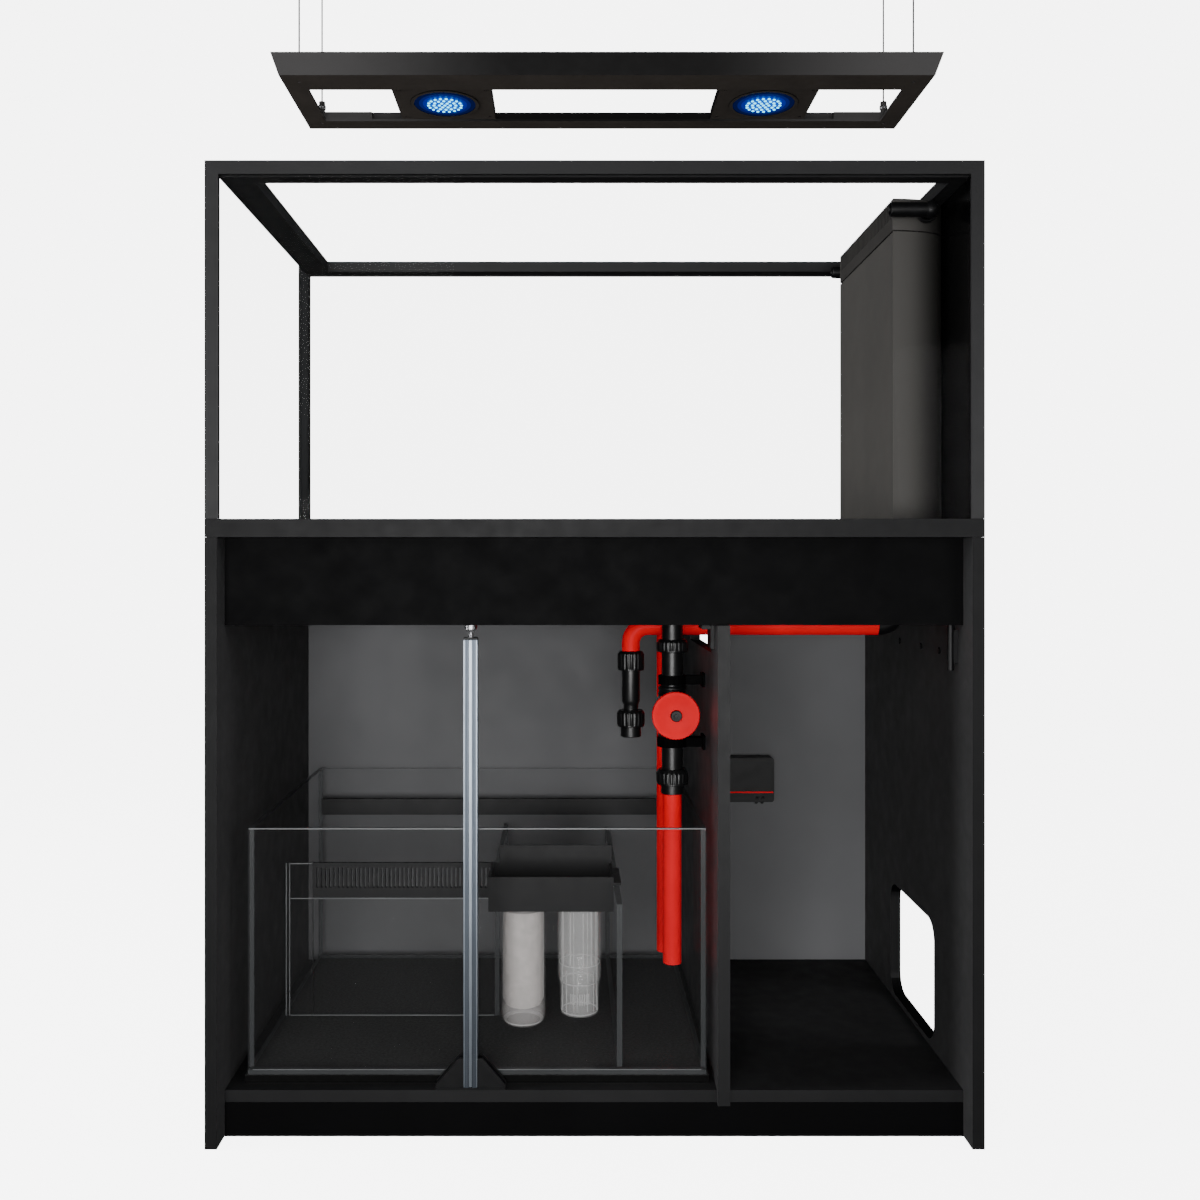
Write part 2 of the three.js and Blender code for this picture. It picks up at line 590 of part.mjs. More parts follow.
const TRAY = { x: [-176, 37.1], y: [187, 284], top: 367.6, back: 399, wall: 4 };
const trayFloorTop = TRAY_FLOOR + TRAY.wall;
add('cup_tray', cut(
  join(
    block(TRAY.x, TRAY.y, [TRAY_FLOOR, TRAY.top]),
    block([-162, TRAY.x[1]], [TRAY.y[1] - TRAY.wall, TRAY.y[1]], [TRAY_FLOOR, TRAY.back]),
    block([TRAY.x[1] - 1, 50], TRAY.y, [INLET.top + GAP, INLET.top + 4]),
  ),
  block(grow(TRAY.x, -TRAY.wall), grow(TRAY.y, -TRAY.wall), [trayFloorTop, 400]),
  ...Object.values(CUP_X).map((x) => rodZ(40, [300, 320], 24).translate(x, CUP_Y, 0)),
), blackPlastic);

// Cups have a thin wall and a flange that rests on the tray's floor.
const CUP_R = 38.5;
const CUP_WALL = 2.5;
const flangeZ = trayFloorTop + GAP;
const cupTop = flangeZ + 3.7;
const cup = (outside) => {
  const bottom = outside[0][1];
  const inside = outside.slice(1).map(([r, z]) => [r - CUP_WALL, Math.max(z, bottom + CUP_WALL)]);
  return latheZ([
    ...outside, [CUP_R, flangeZ], [43, flangeZ], [43, cupTop], [CUP_R - CUP_WALL, cupTop],
    ...inside.reverse(), [0, bottom + CUP_WALL],
  ], 24);
};
add('filter_cup', cup([[0, 104], [28, 104], [35, 107], [CUP_R, 122]]), clearPlastic,
  [CUP_X.filter_cup, CUP_Y, 0]);
add('media_cup', cup([[0, 121], [30, 121], [34, 126], [34, 196], [36.5, 200], [36.5, 216], [CUP_R, 220]]),
  clearPlastic, [CUP_X.media_cup, CUP_Y, 0]);

// ---- top-up controller on the back panel ----

const CONTROLLER = { x: [254, 384], y: [600, backFace - GAP], z: [409, 500] };
const portX = [-50, -38, 30, 42].map((x) => x + 319);
add('controller', cut(
  alongY(rectangle(CONTROLLER.x, CONTROLLER.z, 6), CONTROLLER.y),
  ...portX.map((x) => rodY(3, [CONTROLLER.y[0] - 1, CONTROLLER.y[0] + 8], 16).translate(x, 0, 418)),
), blackPlastic);

// ---- hanging light ----

const LIGHT = {
  top: { x: 573.5, y: 135.5 }, // half sizes
  bottom: { x: 562, y: 124 },
  skirt: 3,
  flange: 4,
  opening: { x: [-524, 524], y: [-61, 84] },
};
const lightHeight = LIGHT_TOP - LIGHT_BOTTOM;
const spanOf = ({ x, y }, inset = 0) => [[-x + inset, x - inset], [-y + inset, y - inset]];

const WIRE_R = 1.5;
const wirePlaces = [
  ['front_left', -533, -95], ['front_right', 533, -95],
  ['rear_left', -533, 95], ['rear_right', 533, 95],
];
// A bracket along the frame's end carries each wire's gripper.
const cornerGripper = ([, x, y]) => {
  const inwards = -Math.sign(x);
  const bracketX = [x - inwards * 14, x + inwards * 96].sort((a, b) => a - b);
  return join(
    block(bracketX, [y - 7, y + 7], [LIGHT.flange - 0.5, 19]),
    rodZ(6, [18.9, 40], 16).translate(x, y, 0),
  );
};
const wireBore = ([, x, y]) => rodZ(WIRE_R + 1, [-5, 60], 12).translate(x, y, 0);
add('pendant_frame', cut(
  join(
    cut(
      taperedBlock(spanOf(LIGHT.bottom), spanOf(LIGHT.top), [0, lightHeight]),
      taperedBlock(spanOf(LIGHT.bottom, LIGHT.skirt), spanOf(LIGHT.top, LIGHT.skirt),
        [LIGHT.flange, lightHeight + 0.1]),
      block(LIGHT.opening.x, LIGHT.opening.y, [-1, 20]),
    ),
    ...wirePlaces.map(cornerGripper),
  ),
  ...wirePlaces.map(wireBore),
), lightMetal, [LIGHT_X, LIGHT_Y, LIGHT_BOTTOM]);

// Each lamp sits in the opening, with a lip over the flange in front and behind.
const LAMP_X = 291;
const LAMP_HALF = 88.5;
const lampY = grow(LIGHT.opening.y, -GAP);
const lampMiddle = (lampY[0] + lampY[1]) / 2;
const lamp = () => cut(
  join(
    block([-LAMP_HALF, LAMP_HALF], lampY, [0, lightHeight]),
    block([-LAMP_HALF, LAMP_HALF], grow(lampY, 6), [LIGHT.flange + GAP, LIGHT.flange + 4]),
  ),
  rodZ(50, [-1, 8], 24).translate(0, lampMiddle, 0),
  ...spread(8, 20).map((x) =>
    block([x - 5, x + 5], [lampY[0] + 14, lampY[1] - 14], [lightHeight - 14, lightHeight + 1])),
);
add('led_left', lamp(), lightMetal, [LIGHT_X - LAMP_X, LIGHT_Y, LIGHT_BOTTOM]);
add('led_right', lamp(), lightMetal, [LIGHT_X + LAMP_X, LIGHT_Y, LIGHT_BOTTOM]);

// Four wires hang from two ceiling bars, and pass down through the grippers.
const BAR_THICK = 12;
const FERRULE = [CEILING - BAR_THICK - 15, CEILING - BAR_THICK + 1];
const WIRE_BOTTOM = 1742;
for (const [name, x, y] of wirePlaces) {
  add(`wire_${name}`, rodZ(WIRE_R, [WIRE_BOTTOM, FERRULE[0] - GAP], 8), steel,
    [LIGHT_X + x, LIGHT_Y + y, 0]);
}
const ceilingBar = () => join(
  block([-15, 15], [-110, 110], [CEILING - BAR_THICK, CEILING]),
  ...[-95, 95].map((y) => rodZ(6, FERRULE, 16).translate(0, y, 0)),
);
add('ceiling_bar_left', ceilingBar(), steel, [LIGHT_X - 533, LIGHT_Y, 0]);
add('ceiling_bar_right', ceilingBar(), steel, [LIGHT_X + 533, LIGHT_Y, 0]);

export default aquarium;
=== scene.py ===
"""A reef aquarium on a cabinet stand, with its sump, plumbing and hanging light.

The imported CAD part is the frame. Flat boards stay as CAD nodes and get a small bevel and a material.
Round and detailed pieces are rebuilt here at a finer resolution and stand for their CAD nodes.
"""

import json
import math

import bmesh
import bpy
from mathutils import Matrix, Vector


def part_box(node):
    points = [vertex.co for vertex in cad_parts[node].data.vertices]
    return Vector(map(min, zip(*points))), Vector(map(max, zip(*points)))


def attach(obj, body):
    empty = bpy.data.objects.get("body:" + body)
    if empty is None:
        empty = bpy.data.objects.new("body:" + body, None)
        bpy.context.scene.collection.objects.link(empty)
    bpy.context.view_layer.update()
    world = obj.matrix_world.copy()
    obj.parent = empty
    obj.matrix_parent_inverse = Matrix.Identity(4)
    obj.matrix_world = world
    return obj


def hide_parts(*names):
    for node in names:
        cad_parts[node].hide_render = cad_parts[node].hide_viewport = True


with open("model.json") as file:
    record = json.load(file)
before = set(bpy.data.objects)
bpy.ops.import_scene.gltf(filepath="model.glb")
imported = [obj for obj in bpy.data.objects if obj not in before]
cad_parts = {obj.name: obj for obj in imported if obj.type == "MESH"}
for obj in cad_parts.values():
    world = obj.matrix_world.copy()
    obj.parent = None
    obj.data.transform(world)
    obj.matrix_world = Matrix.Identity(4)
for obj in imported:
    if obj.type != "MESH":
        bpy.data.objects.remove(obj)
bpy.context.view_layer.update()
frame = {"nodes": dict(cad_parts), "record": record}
nodes = frame["nodes"]

STAND = "tank_and_stand"
PENDANT = "pendant"
HALF_DEPTH = 325
TO_FRAME = Matrix.Scale(0.001, 4) @ Matrix.Translation((0, -HALF_DEPTH, 0))
BODY_OF = {
    node: body for body, members in frame["record"]["behaviour"]["bodies"].items() for node in members
}
SLOT_OF = {row["node"]: row["material_slot"] for row in frame["record"]["subparts"]}


def at(x, y, z):
    """A point in metres, from millimetres. y is the distance behind the stand's front edge."""
    return Vector((x, y - HALF_DEPTH, z)) / 1000


# ---- camera ----

camera_data = bpy.data.cameras.new("camera")
camera_data.sensor_width = 36
camera_data.lens = 34.83
camera_data.shift_x = 0.0292
camera_data.shift_y = -0.0333
camera_data.clip_end = 50
camera = bpy.data.objects.new("camera", camera_data)
camera.location = (-0.0457, -2.110, 0.9064)
camera.rotation_euler = (math.radians(90), 0, 0)
bpy.context.scene.collection.objects.link(camera)
bpy.context.scene.camera = camera


# ---- materials ----


class Look:
    """A node material with one Principled shader, and short calls that wire its detail."""

    def __init__(self, name, color, roughness=0.5, metallic=0.0, **sockets):
        self.material = bpy.data.materials.new(name)
        self.material.use_nodes = True
        self.tree = self.material.node_tree
        self.shader = self.tree.nodes["Principled BSDF"]
        self.color = (*color, 1)
        self.roughness = roughness
        self.shader.inputs["Base Color"].default_value = self.color
        self.shader.inputs["Roughness"].default_value = roughness
        self.shader.inputs["Metallic"].default_value = metallic
        for socket, value in sockets.items():
            self.shader.inputs[socket.replace("_", " ")].default_value = value

    def node(self, kind, **inputs):
        made = self.tree.nodes.new(kind)
        for socket, value in inputs.items():
            made.inputs[socket.replace("_", " ")].default_value = value
        return made

    def wire(self, source, output, target, socket):
        self.tree.links.new(source.outputs[output], target.inputs[socket])

    def noise(self, scale, stretch=(1, 1, 1), detail=3):
        place = self.node("ShaderNodeTexCoord")
        mapping = self.node("ShaderNodeMapping", Scale=stretch)
        noise = self.node("ShaderNodeTexNoise", Scale=scale, Detail=detail)
        self.wire(place, "Object", mapping, "Vector")
        self.wire(mapping, "Vector", noise, "Vector")
        return noise

    def mottle(self, scale, amount, stretch=(1, 1, 1)):
        """Varies the base colour by a fraction of itself."""
        noise = self.noise(scale, stretch)
        ramp = self.node("ShaderNodeValToRGB")
        for end, position, factor in ((0, 0.3, 1 - amount), (1, 0.7, 1 + amount)):
            ramp.color_ramp.elements[end].position = position
            ramp.color_ramp.elements[end].color = (*(min(c * factor, 1) for c in self.color[:3]), 1)
        self.wire(noise, "Fac", ramp, "Fac")
        self.wire(ramp, "Color", self.shader, "Base Color")
        return self

    def smudge(self, scale, amount, stretch=(1, 1, 1)):
        """Varies the roughness up and down."""
        noise = self.noise(scale, stretch)
        spread = self.node("ShaderNodeMapRange")
        spread.inputs["From Min"].default_value = 0.3
        spread.inputs["From Max"].default_value = 0.7
        spread.inputs["To Min"].default_value = max(self.roughness - amount, 0.02)
        spread.inputs["To Max"].default_value = self.roughness + amount
        self.wire(noise, "Fac", spread, "Value")
        self.wire(spread, "Result", self.shader, "Roughness")
        return self

    def bump(self, scale, distance, strength=0.3, stretch=(1, 1, 1), detail=3):
        noise = self.noise(scale, stretch, detail)
        bump = self.node("ShaderNodeBump", Strength=strength, Distance=distance)
        self.wire(noise, "Fac", bump, "Height")
        self.wire(bump, "Normal", self.shader, "Normal")
        return self

    def paint_light_and_shade_along_x(self, start, reach, factor):
        """Paints light and shade into the base colour, fading it by a factor along X over the width of the
        piece's own box.
        """
        place = self.node("ShaderNodeTexCoord")
        parts = self.node("ShaderNodeSeparateXYZ")
        distance = self.node("ShaderNodeMath")
        distance.operation = "SUBTRACT"
        distance.inputs[1].default_value = start
        away = self.node("ShaderNodeMath")
        away.operation = "ABSOLUTE"
        fade = self.node("ShaderNodeMapRange")
        fade.interpolation_type = "SMOOTHSTEP"
        fade.inputs["From Min"].default_value = reach[0]
        fade.inputs["From Max"].default_value = reach[1]
        ramp = self.node("ShaderNodeValToRGB")
        ramp.color_ramp.elements[0].color = self.color
        ramp.color_ramp.elements[1].color = (*(min(c * factor, 1) for c in self.color[:3]), 1)
        self.wire(place, "Generated", parts, "Vector")
        self.wire(parts, "X", distance, 0)
        self.wire(distance, "Value", away, 0)
        self.wire(away, "Value", fade, "Value")
        self.wire(fade, "Result", ramp, "Fac")
        self.wire(ramp, "Color", self.shader, "Base Color")
        return self

    def clear(self, see_through):
        """Lets straight light through, so that thin panes neither darken nor bend what is behind."""
        output = self.tree.nodes["Material Output"]
        hole = self.node("ShaderNodeBsdfTransparent")
        hole.inputs["Color"].default_value = (0.98, 0.98, 0.98, 1)
        mix = self.node("ShaderNodeMixShader")
        mix.inputs[0].default_value = 1 - see_through
        self.wire(hole, "BSDF", mix, 1)
        self.wire(self.shader, "BSDF", mix, 2)
        self.wire(mix, "Shader", output, "Surface")
        return self


LAMINATE = Look("laminate", (0.0016, 0.0016, 0.0018), 0.6, Specular_IOR_Level=0.05)
LAMINATE.mottle(6, 0.18).smudge(30, 0.06).bump(900, 0.0002, 0.2, (1, 1, 0.25))
# Painted light: a lighter copy of the black laminate for the side panels' inner faces.
LAMINATE_INNER_PAINTED_LIT = Look("laminate_inner_painted_lit", (0.042, 0.042, 0.043), 0.6, Specular_IOR_Level=0.12)
LAMINATE_INNER_PAINTED_LIT.mottle(4, 0.1).smudge(30, 0.06).bump(900, 0.0002, 0.2)
# Painted light: a lighter copy of the black laminate for the floor's top face.
LAMINATE_TOP_PAINTED_LIT = Look("laminate_top_painted_lit", (0.017, 0.017, 0.0178), 0.6, Specular_IOR_Level=0.12)
LAMINATE_TOP_PAINTED_LIT.mottle(5, 0.15).smudge(30, 0.06).bump(900, 0.0002, 0.2)
LAMINATE_EDGE = Look("laminate_edge", (0.0080, 0.0080, 0.0084), 0.5, Specular_IOR_Level=0.12)
LAMINATE_EDGE.mottle(12, 0.1).smudge(40, 0.05).bump(1000, 0.0001, 0.2)
BACKING = Look("backing_board", (0.105, 0.106, 0.110), 0.62, Specular_IOR_Level=0.3)
BACKING.mottle(2, 0.15).smudge(20, 0.05).bump(700, 0.0002, 0.2)
GREY_FACE = Look("grey_face", (0.046, 0.046, 0.048), 0.5, Specular_IOR_Level=0.2)
GREY_FACE.mottle(3, 0.15).smudge(25, 0.05).bump(800, 0.0002, 0.2)
GREY_EDGE = Look("grey_edge", (0.0090, 0.0090, 0.0095), 0.5, Specular_IOR_Level=0.2)
GREY_EDGE.mottle(12, 0.08).smudge(40, 0.05).bump(1000, 0.0001, 0.2)
# Painted shade: a darker copy of the trim for the base tray, which the low lamp lights more than the top trim.
TRIM_PAINTED_SHADE = Look("trim_painted_shade", (0.0052, 0.0052, 0.0057), 0.5, Specular_IOR_Level=0.15)
TRIM_PAINTED_SHADE.mottle(12, 0.06).smudge(40, 0.05).bump(1400, 0.0001, 0.25)
TRIM = Look("trim", (0.0115, 0.0115, 0.0123), 0.5, Specular_IOR_Level=0.3)
TRIM.mottle(12, 0.06).smudge(40, 0.05).bump(1400, 0.0001, 0.25)
BLACK_PLASTIC = Look("black_plastic", (0.0032, 0.0032, 0.0036), 0.45, Specular_IOR_Level=0.2)
BLACK_PLASTIC.mottle(30, 0.12).smudge(60, 0.07).bump(1200, 0.0001, 0.12)
DARK_PLASTIC = Look("dark_plastic", (0.0078, 0.0078, 0.0081), 0.45, Specular_IOR_Level=0.2)
DARK_PLASTIC.mottle(30, 0.12).smudge(60, 0.07).bump(1200, 0.0001, 0.12)
DULL_PLASTIC = Look("dull_plastic", (0.0012, 0.0012, 0.0013), 0.7, Specular_IOR_Level=0.03)
DULL_PLASTIC.mottle(30, 0.12).smudge(60, 0.07)
FITTING = Look("pipe_fitting", (0.0045, 0.0047, 0.0050), 0.36, Specular_IOR_Level=0.4)
FITTING.mottle(30, 0.12).smudge(60, 0.05)
OVERFLOW_BLACK = Look("overflow_black", (0.072, 0.069, 0.065), 0.6, Specular_IOR_Level=0.12)
# Painted shade: the base colour darkens along X towards the end pane, where the bowed front turns from the
# light.
OVERFLOW_BLACK.paint_light_and_shade_along_x(0, (0.25, 0.95), 0.14).smudge(12, 0.05)
OVERFLOW_COMB = Look("overflow_comb", (0.043, 0.041, 0.039), 0.6, Specular_IOR_Level=0.1)
OVERFLOW_COMB.mottle(5, 0.12).smudge(12, 0.05)
RED_PLASTIC = Look("red_plastic", (0.86, 0.003, 0.012), 0.42, Specular_IOR_Level=0.05)
RED_PLASTIC.mottle(20, 0.05).smudge(50, 0.06)
RED_WHEEL = Look("red_wheel", (0.78, 0.008, 0.016), 0.5, Specular_IOR_Level=0.04)
RED_WHEEL.mottle(30, 0.07).smudge(60, 0.06).bump(600, 0.0001, 0.15)
ALUMINIUM = Look("aluminium", (0.062, 0.073, 0.088), 0.40, 1.0)
ALUMINIUM.mottle(60, 0.08, (1, 1, 0.02)).smudge(120, 0.06, (1, 1, 0.02)).bump(900, 0.0001, 0.12, (1, 1, 0.01))
STEEL = Look("steel", (0.26, 0.26, 0.27), 0.3, 1.0)
STEEL.mottle(80, 0.06).smudge(150, 0.08).bump(1500, 0.0001, 0.1)
WIRE_STEEL = Look("wire_steel", (0.012, 0.012, 0.013), 0.5, 0.3)
WIRE_STEEL.mottle(400, 0.2).bump(2500, 0.0003, 0.5, (1, 1, 0.4))
LAMP_METAL = Look("lamp_metal", (0.0070, 0.0068, 0.0066), 0.42, Specular_IOR_Level=0.05)
LAMP_METAL.mottle(15, 0.1).smudge(60, 0.06).bump(1600, 0.0001, 0.15)
LIGHT_METAL = Look("light_metal", (0.0088, 0.0085, 0.0085), 0.42, Specular_IOR_Level=0.02)
# Painted highlights: the base colour grows lighter towards both ends of the frame.
LIGHT_METAL.paint_light_and_shade_along_x(0.5, (0.12, 0.46), 6.5).smudge(60, 0.06).bump(1600, 0.0001, 0.15)
# Painted light: a lighter copy of the light's dark metal for downward faces, standing in for light that reaches
# the undersides.
LIGHT_UNDER_PAINTED_LIT = Look("light_metal_underside_painted_lit", (0.060, 0.052, 0.046), 0.5, Specular_IOR_Level=0.12)
LIGHT_UNDER_PAINTED_LIT.mottle(15, 0.1).smudge(60, 0.06).bump(1600, 0.0001, 0.15)
# Painted light: a lighter copy of the dark foam for the mat's top face.
FOAM_TOP_PAINTED_LIT = Look("foam_top_painted_lit", (0.058, 0.058, 0.058), 0.95, Specular_IOR_Level=0.1)
FOAM_TOP_PAINTED_LIT.mottle(200, 0.2)
FOAM = Look("foam", (0.003, 0.003, 0.003), 0.95, Specular_IOR_Level=0.1)
FOAM.mottle(200, 0.3).bump(500, 0.0006, 0.5)
PIVOT_GREY = Look("pivot_grey", (0.0045, 0.0045, 0.005), 0.4, Specular_IOR_Level=0.2)
PIVOT_GREY.mottle(30, 0.1).bump(900, 0.0001, 0.1)
CLEAR_GLASS = Look("clear_glass", (0.001, 0.0013, 0.0013), 0.03)
CLEAR_GLASS.smudge(4, 0.02).clear(0.965)
SUMP_GLASS = Look("sump_glass", (0.10, 0.10, 0.103), 0.05)
SUMP_GLASS.smudge(4, 0.02).clear(0.955)
GLASS_EDGE = Look("glass_edge", (0.050, 0.053, 0.055), 0.3, Specular_IOR_Level=0.3)
GLASS_EDGE.mottle(9, 0.12).clear(0.25)
# Painted highlight colour for the glass edges.
GLASS_GLINT = Look("glass_glint", (0.13, 0.135, 0.14), 0.3)
GLASS_GLINT.mottle(9, 0.2)
# Painted shadow colour for thin dark strips.
PAINTED_SHADOW_LINE = Look("painted_shadow_line", (0.045, 0.052, 0.065), 0.5, 0.6)
PAINTED_SHADOW_LINE.mottle(40, 0.1)
# Painted highlight colour for thin bright strips.
PAINTED_HIGHLIGHT_LINE = Look("painted_highlight_line", (0.20, 0.225, 0.255), 0.35, 0.9)
PAINTED_HIGHLIGHT_LINE.mottle(40, 0.06)
TANK_EDGE = Look("tank_edge", (0.018, 0.019, 0.020), 0.6, Specular_IOR_Level=0.15)
TANK_EDGE.mottle(20, 0.08)
BLACK_GLASS = Look("black_glass", (0.0018, 0.0019, 0.0020), 0.2, Specular_IOR_Level=0.3)
BLACK_GLASS.mottle(4, 0.1).smudge(8, 0.03)
CLEAR_PLASTIC = Look("clear_plastic", (0.80, 0.80, 0.79), 0.10, Coat_Weight=0.6)
CLEAR_PLASTIC.mottle(20, 0.1).smudge(30, 0.05).bump(80, 0.0003, 0.1).clear(0.8)
# Painted highlight colour for bright streaks and rings on the cups.
PLASTIC_GLINT = Look("plastic_glint", (0.95, 0.94, 0.93), 0.2)
PLASTIC_GLINT.mottle(30, 0.15).clear(0.55)
FROSTED = Look("frosted_plastic", (0.74, 0.71, 0.70), 0.35, Coat_Weight=0.4)
FROSTED.mottle(14, 0.08).smudge(30, 0.05).bump(120, 0.0002, 0.1).clear(0.82)
FILTER_WOOL = Look("filter_wool", (0.70, 0.66, 0.63), 0.95)
FILTER_WOOL.mottle(60, 0.1).bump(220, 0.001, 0.4).clear(0.2)


def glowing(name, color, glow, strength):
    """A lens that is lit from inside."""
    look = Look(name, color, 0.25, Specular_IOR_Level=0.1)
    look.shader.inputs["Emission Color"].default_value = (*glow, 1)
    look.shader.inputs["Emission Strength"].default_value = strength
    return look.mottle(60, 0.3)


# The lens fades from its lit core out to a dark rim.
LED_RINGS = [
    (0, 26, glowing("led_core", (0.001, 0.02, 0.20), (0.0, 0.14, 1.0), 0.60)),
    (26.2, 33, glowing("led_glass_inner", (0.001, 0.010, 0.12), (0.0, 0.06, 1.0), 0.46)),
    (33.2, 40, glowing("led_glass", (0.001, 0.006, 0.06), (0.0, 0.04, 1.0), 0.28)),
    (40.2, 47, glowing("led_glass_outer", (0.001, 0.004, 0.03), (0.0, 0.05, 1.0), 0.14)),
    (47.2, 55.6, glowing("led_rim", (0.001, 0.002, 0.01), (0.0, 0.07, 1.0), 0.05)),
]
LED_CHIP = glowing("led_chip", (0.02, 0.3, 0.8), (0.10, 0.75, 1.0), 3.6)


# ---- mesh building ----

ON_AXIS = 1e-6
PIPE_WALL = 3


class Shape:
    """Collects parts of one piece, in millimetres, and turns them into an object."""

    def __init__(self):
        self.mesh = bmesh.new()

    def _absorb(self, part, placed=None, material=0):
        if placed is not None:
            bmesh.ops.transform(part, matrix=placed, verts=part.verts)
        if material:
            for face in part.faces:
                face.material_index = material
        kept = bpy.data.meshes.new("part")
        part.to_mesh(kept)
        part.free()
        self.mesh.from_mesh(kept)
        bpy.data.meshes.remove(kept)
        return self

    def box(self, x, y, z, bevel=0.6, thin_axis=None):
        """A block with rounded edges. A pane's faces across thin_axis take material 0, and its rim 1."""
        part = bmesh.new()
        bmesh.ops.create_cube(part, size=1)
        middle = [(low + high) / 2 for low, high in (x, y, z)]
        size = [high - low for low, high in (x, y, z)]
        bmesh.ops.transform(
            part, matrix=Matrix.Translation(middle) @ Matrix.Diagonal((*size, 1)), verts=part.verts)
        if bevel:
            bmesh.ops.bevel(part, geom=part.edges[:], offset=bevel, segments=2, affect="EDGES")
        if thin_axis is not None:
            for face in part.faces:
                face.normal_update()
                face.material_index = 0 if abs(face.normal[thin_axis]) > 0.99 else 1
            # One of a pane's two large faces is enough to show it.
            spare = -1 if thin_axis == 2 else 1
            hidden = [face for face in part.faces if face.normal[thin_axis] * spare > 0.99]
            bmesh.ops.delete(part, geom=hidden, context="FACES_ONLY")
        return self._absorb(part)

    def lathe(self, profile, centre=(0, 0, 0), axis="Z", steps=64, material=0, ripple=None):
        """Revolves (radius, height) pairs. ripple is (count, depth, radius) of grip flutes.

        Only points outside the ripple's radius are fluted.
        """
        part = bmesh.new()
        rings = []
        for radius, height in profile:
            if radius < ON_AXIS:
                rings.append([part.verts.new((0, 0, height))])
                continue
            ring = []
            for i in range(steps):
                angle = math.tau * i / steps
                r = radius
                if ripple and radius > ripple[2]:
                    r -= ripple[1] * (0.5 - 0.5 * math.cos(angle * ripple[0])) ** 2
                ring.append(part.verts.new((r * math.cos(angle), r * math.sin(angle), height)))
            rings.append(ring)
        closed = profile[0][0] > ON_AXIS
        pairs = list(zip(rings, rings[1:]))
        if closed:
            pairs.append((rings[-1], rings[0]))
        for below, above in pairs:
            for i in range(steps):
                j = (i + 1) % steps
                corners = [
                    below[i % len(below)], below[j % len(below)], above[j % len(above)], above[i % len(above)],
                ]
                corners = list(dict.fromkeys(corners))
                if len(corners) > 2:
                    part.faces.new(corners)
        turn = {
            "Z": Matrix.Identity(4),
            "Y": Matrix.Rotation(-math.pi / 2, 4, "X"),
            "X": Matrix.Rotation(math.pi / 2, 4, "Y"),
            "-X": Matrix.Rotation(-math.pi / 2, 4, "Y"),
        }[axis]
        return self._absorb(part, Matrix.Translation(centre) @ turn, material)

    def rod(self, radius, z, centre=(0, 0, 0), axis="Z", bore=0, edge=0.8, steps=48):
        """A cylinder or a tube with softened rims."""
        low, high = z
        profile = [
            (radius - edge, low), (radius, low + edge), (radius, high - edge), (radius - edge, high),
        ]
        if bore:
            profile += [(bore, high), (bore, low)]
        else:
            profile = [(0, low), *profile, (0, high)]
        return self.lathe(profile, centre, axis, steps)

    def pipe(self, corners, radius, bend, mouth=0):
        """A round pipe through corner points, with swept bends. mouth opens its first end by that depth."""
        steps = 48
        bend_steps = 14
        points = [Vector(c) for c in corners]
        stations = [points[0]]
        for before, here, after in zip(points, points[1:], points[2:]):
            back = (before - here).normalized()
            ahead = (after - here).normalized()
            centre = here + (back + ahead) * bend
            for i in range(bend_steps + 1):
                angle = math.pi / 2 * i / bend_steps
                stations.append(centre - ahead * bend * math.cos(angle) - back * bend * math.sin(angle))
        stations.append(points[-1])
        part = bmesh.new()
        rings = []
        next_run = points[2] - points[1] if len(points) > 2 else Vector((1, 0, 0))
        side = (points[1] - points[0]).cross(next_run)
        side.normalize()

        def ring_at(place, along, r):
            across = along.cross(side).normalized()
            return [
                part.verts.new(place + side * r * math.cos(math.tau * i / steps)
                               + across * r * math.sin(math.tau * i / steps))
                for i in range(steps)
            ]

        first = (stations[1] - stations[0]).normalized()
        if mouth:
            rings.append(ring_at(stations[0] + first * mouth, first, radius - PIPE_WALL))
            rings.append(ring_at(stations[0], first, radius - PIPE_WALL))
        for i, place in enumerate(stations):
            along = (stations[min(i + 1, len(stations) - 1)] - stations[max(i - 1, 0)]).normalized()
            rings.append(ring_at(place, along, radius))
        for before, after in zip(rings, rings[1:]):
            for i in range(steps):
                j = (i + 1) % steps
                part.faces.new((before[i], before[j], after[j], after[i]))
        part.faces.new(rings[0][::-1])
        part.faces.new(rings[-1])
        return self._absorb(part)

    def prism(self, outline, z):
        """Extrudes a closed outline of (x, y) points."""
        part = bmesh.new()
        ends = [[part.verts.new((x, y, height)) for x, y in outline] for height in z]
        count = len(outline)
        for i in range(count):
            j = (i + 1) % count
            part.faces.new((ends[0][i], ends[0][j], ends[1][j], ends[1][i]))
        part.faces.new(ends[0][::-1])
        part.faces.new(ends[1])
        return self._absorb(part)

    def object(self, name, looks, body=STAND, stands_for=(), slot=None, place=None):
        """Makes the object on its body. A list of looks follows the parts' material numbers."""
        bmesh.ops.recalc_face_normals(self.mesh, faces=self.mesh.faces)
        shift = TO_FRAME @ Matrix.Translation(place) if place else TO_FRAME
        bmesh.ops.transform(self.mesh, matrix=shift, verts=self.mesh.verts)
        data = bpy.data.meshes.new(name)
        self.mesh.to_mesh(data)
        self.mesh.free()
        for look in looks if isinstance(looks, (list, tuple)) else [looks]:
            data.materials.append(look.material)
        made = bpy.data.objects.new(name, data)
        bpy.context.scene.collection.objects.link(made)
        smooth(made)
        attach(made, body)
        if stands_for:
            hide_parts(*stands_for)
        return made

    def stand_for(self, node, looks, place=None):
        """Makes the object in the place of a CAD node, on that node's body."""
        return self.object("new_" + node, looks, BODY_OF[node], [node], SLOT_OF[node], place)


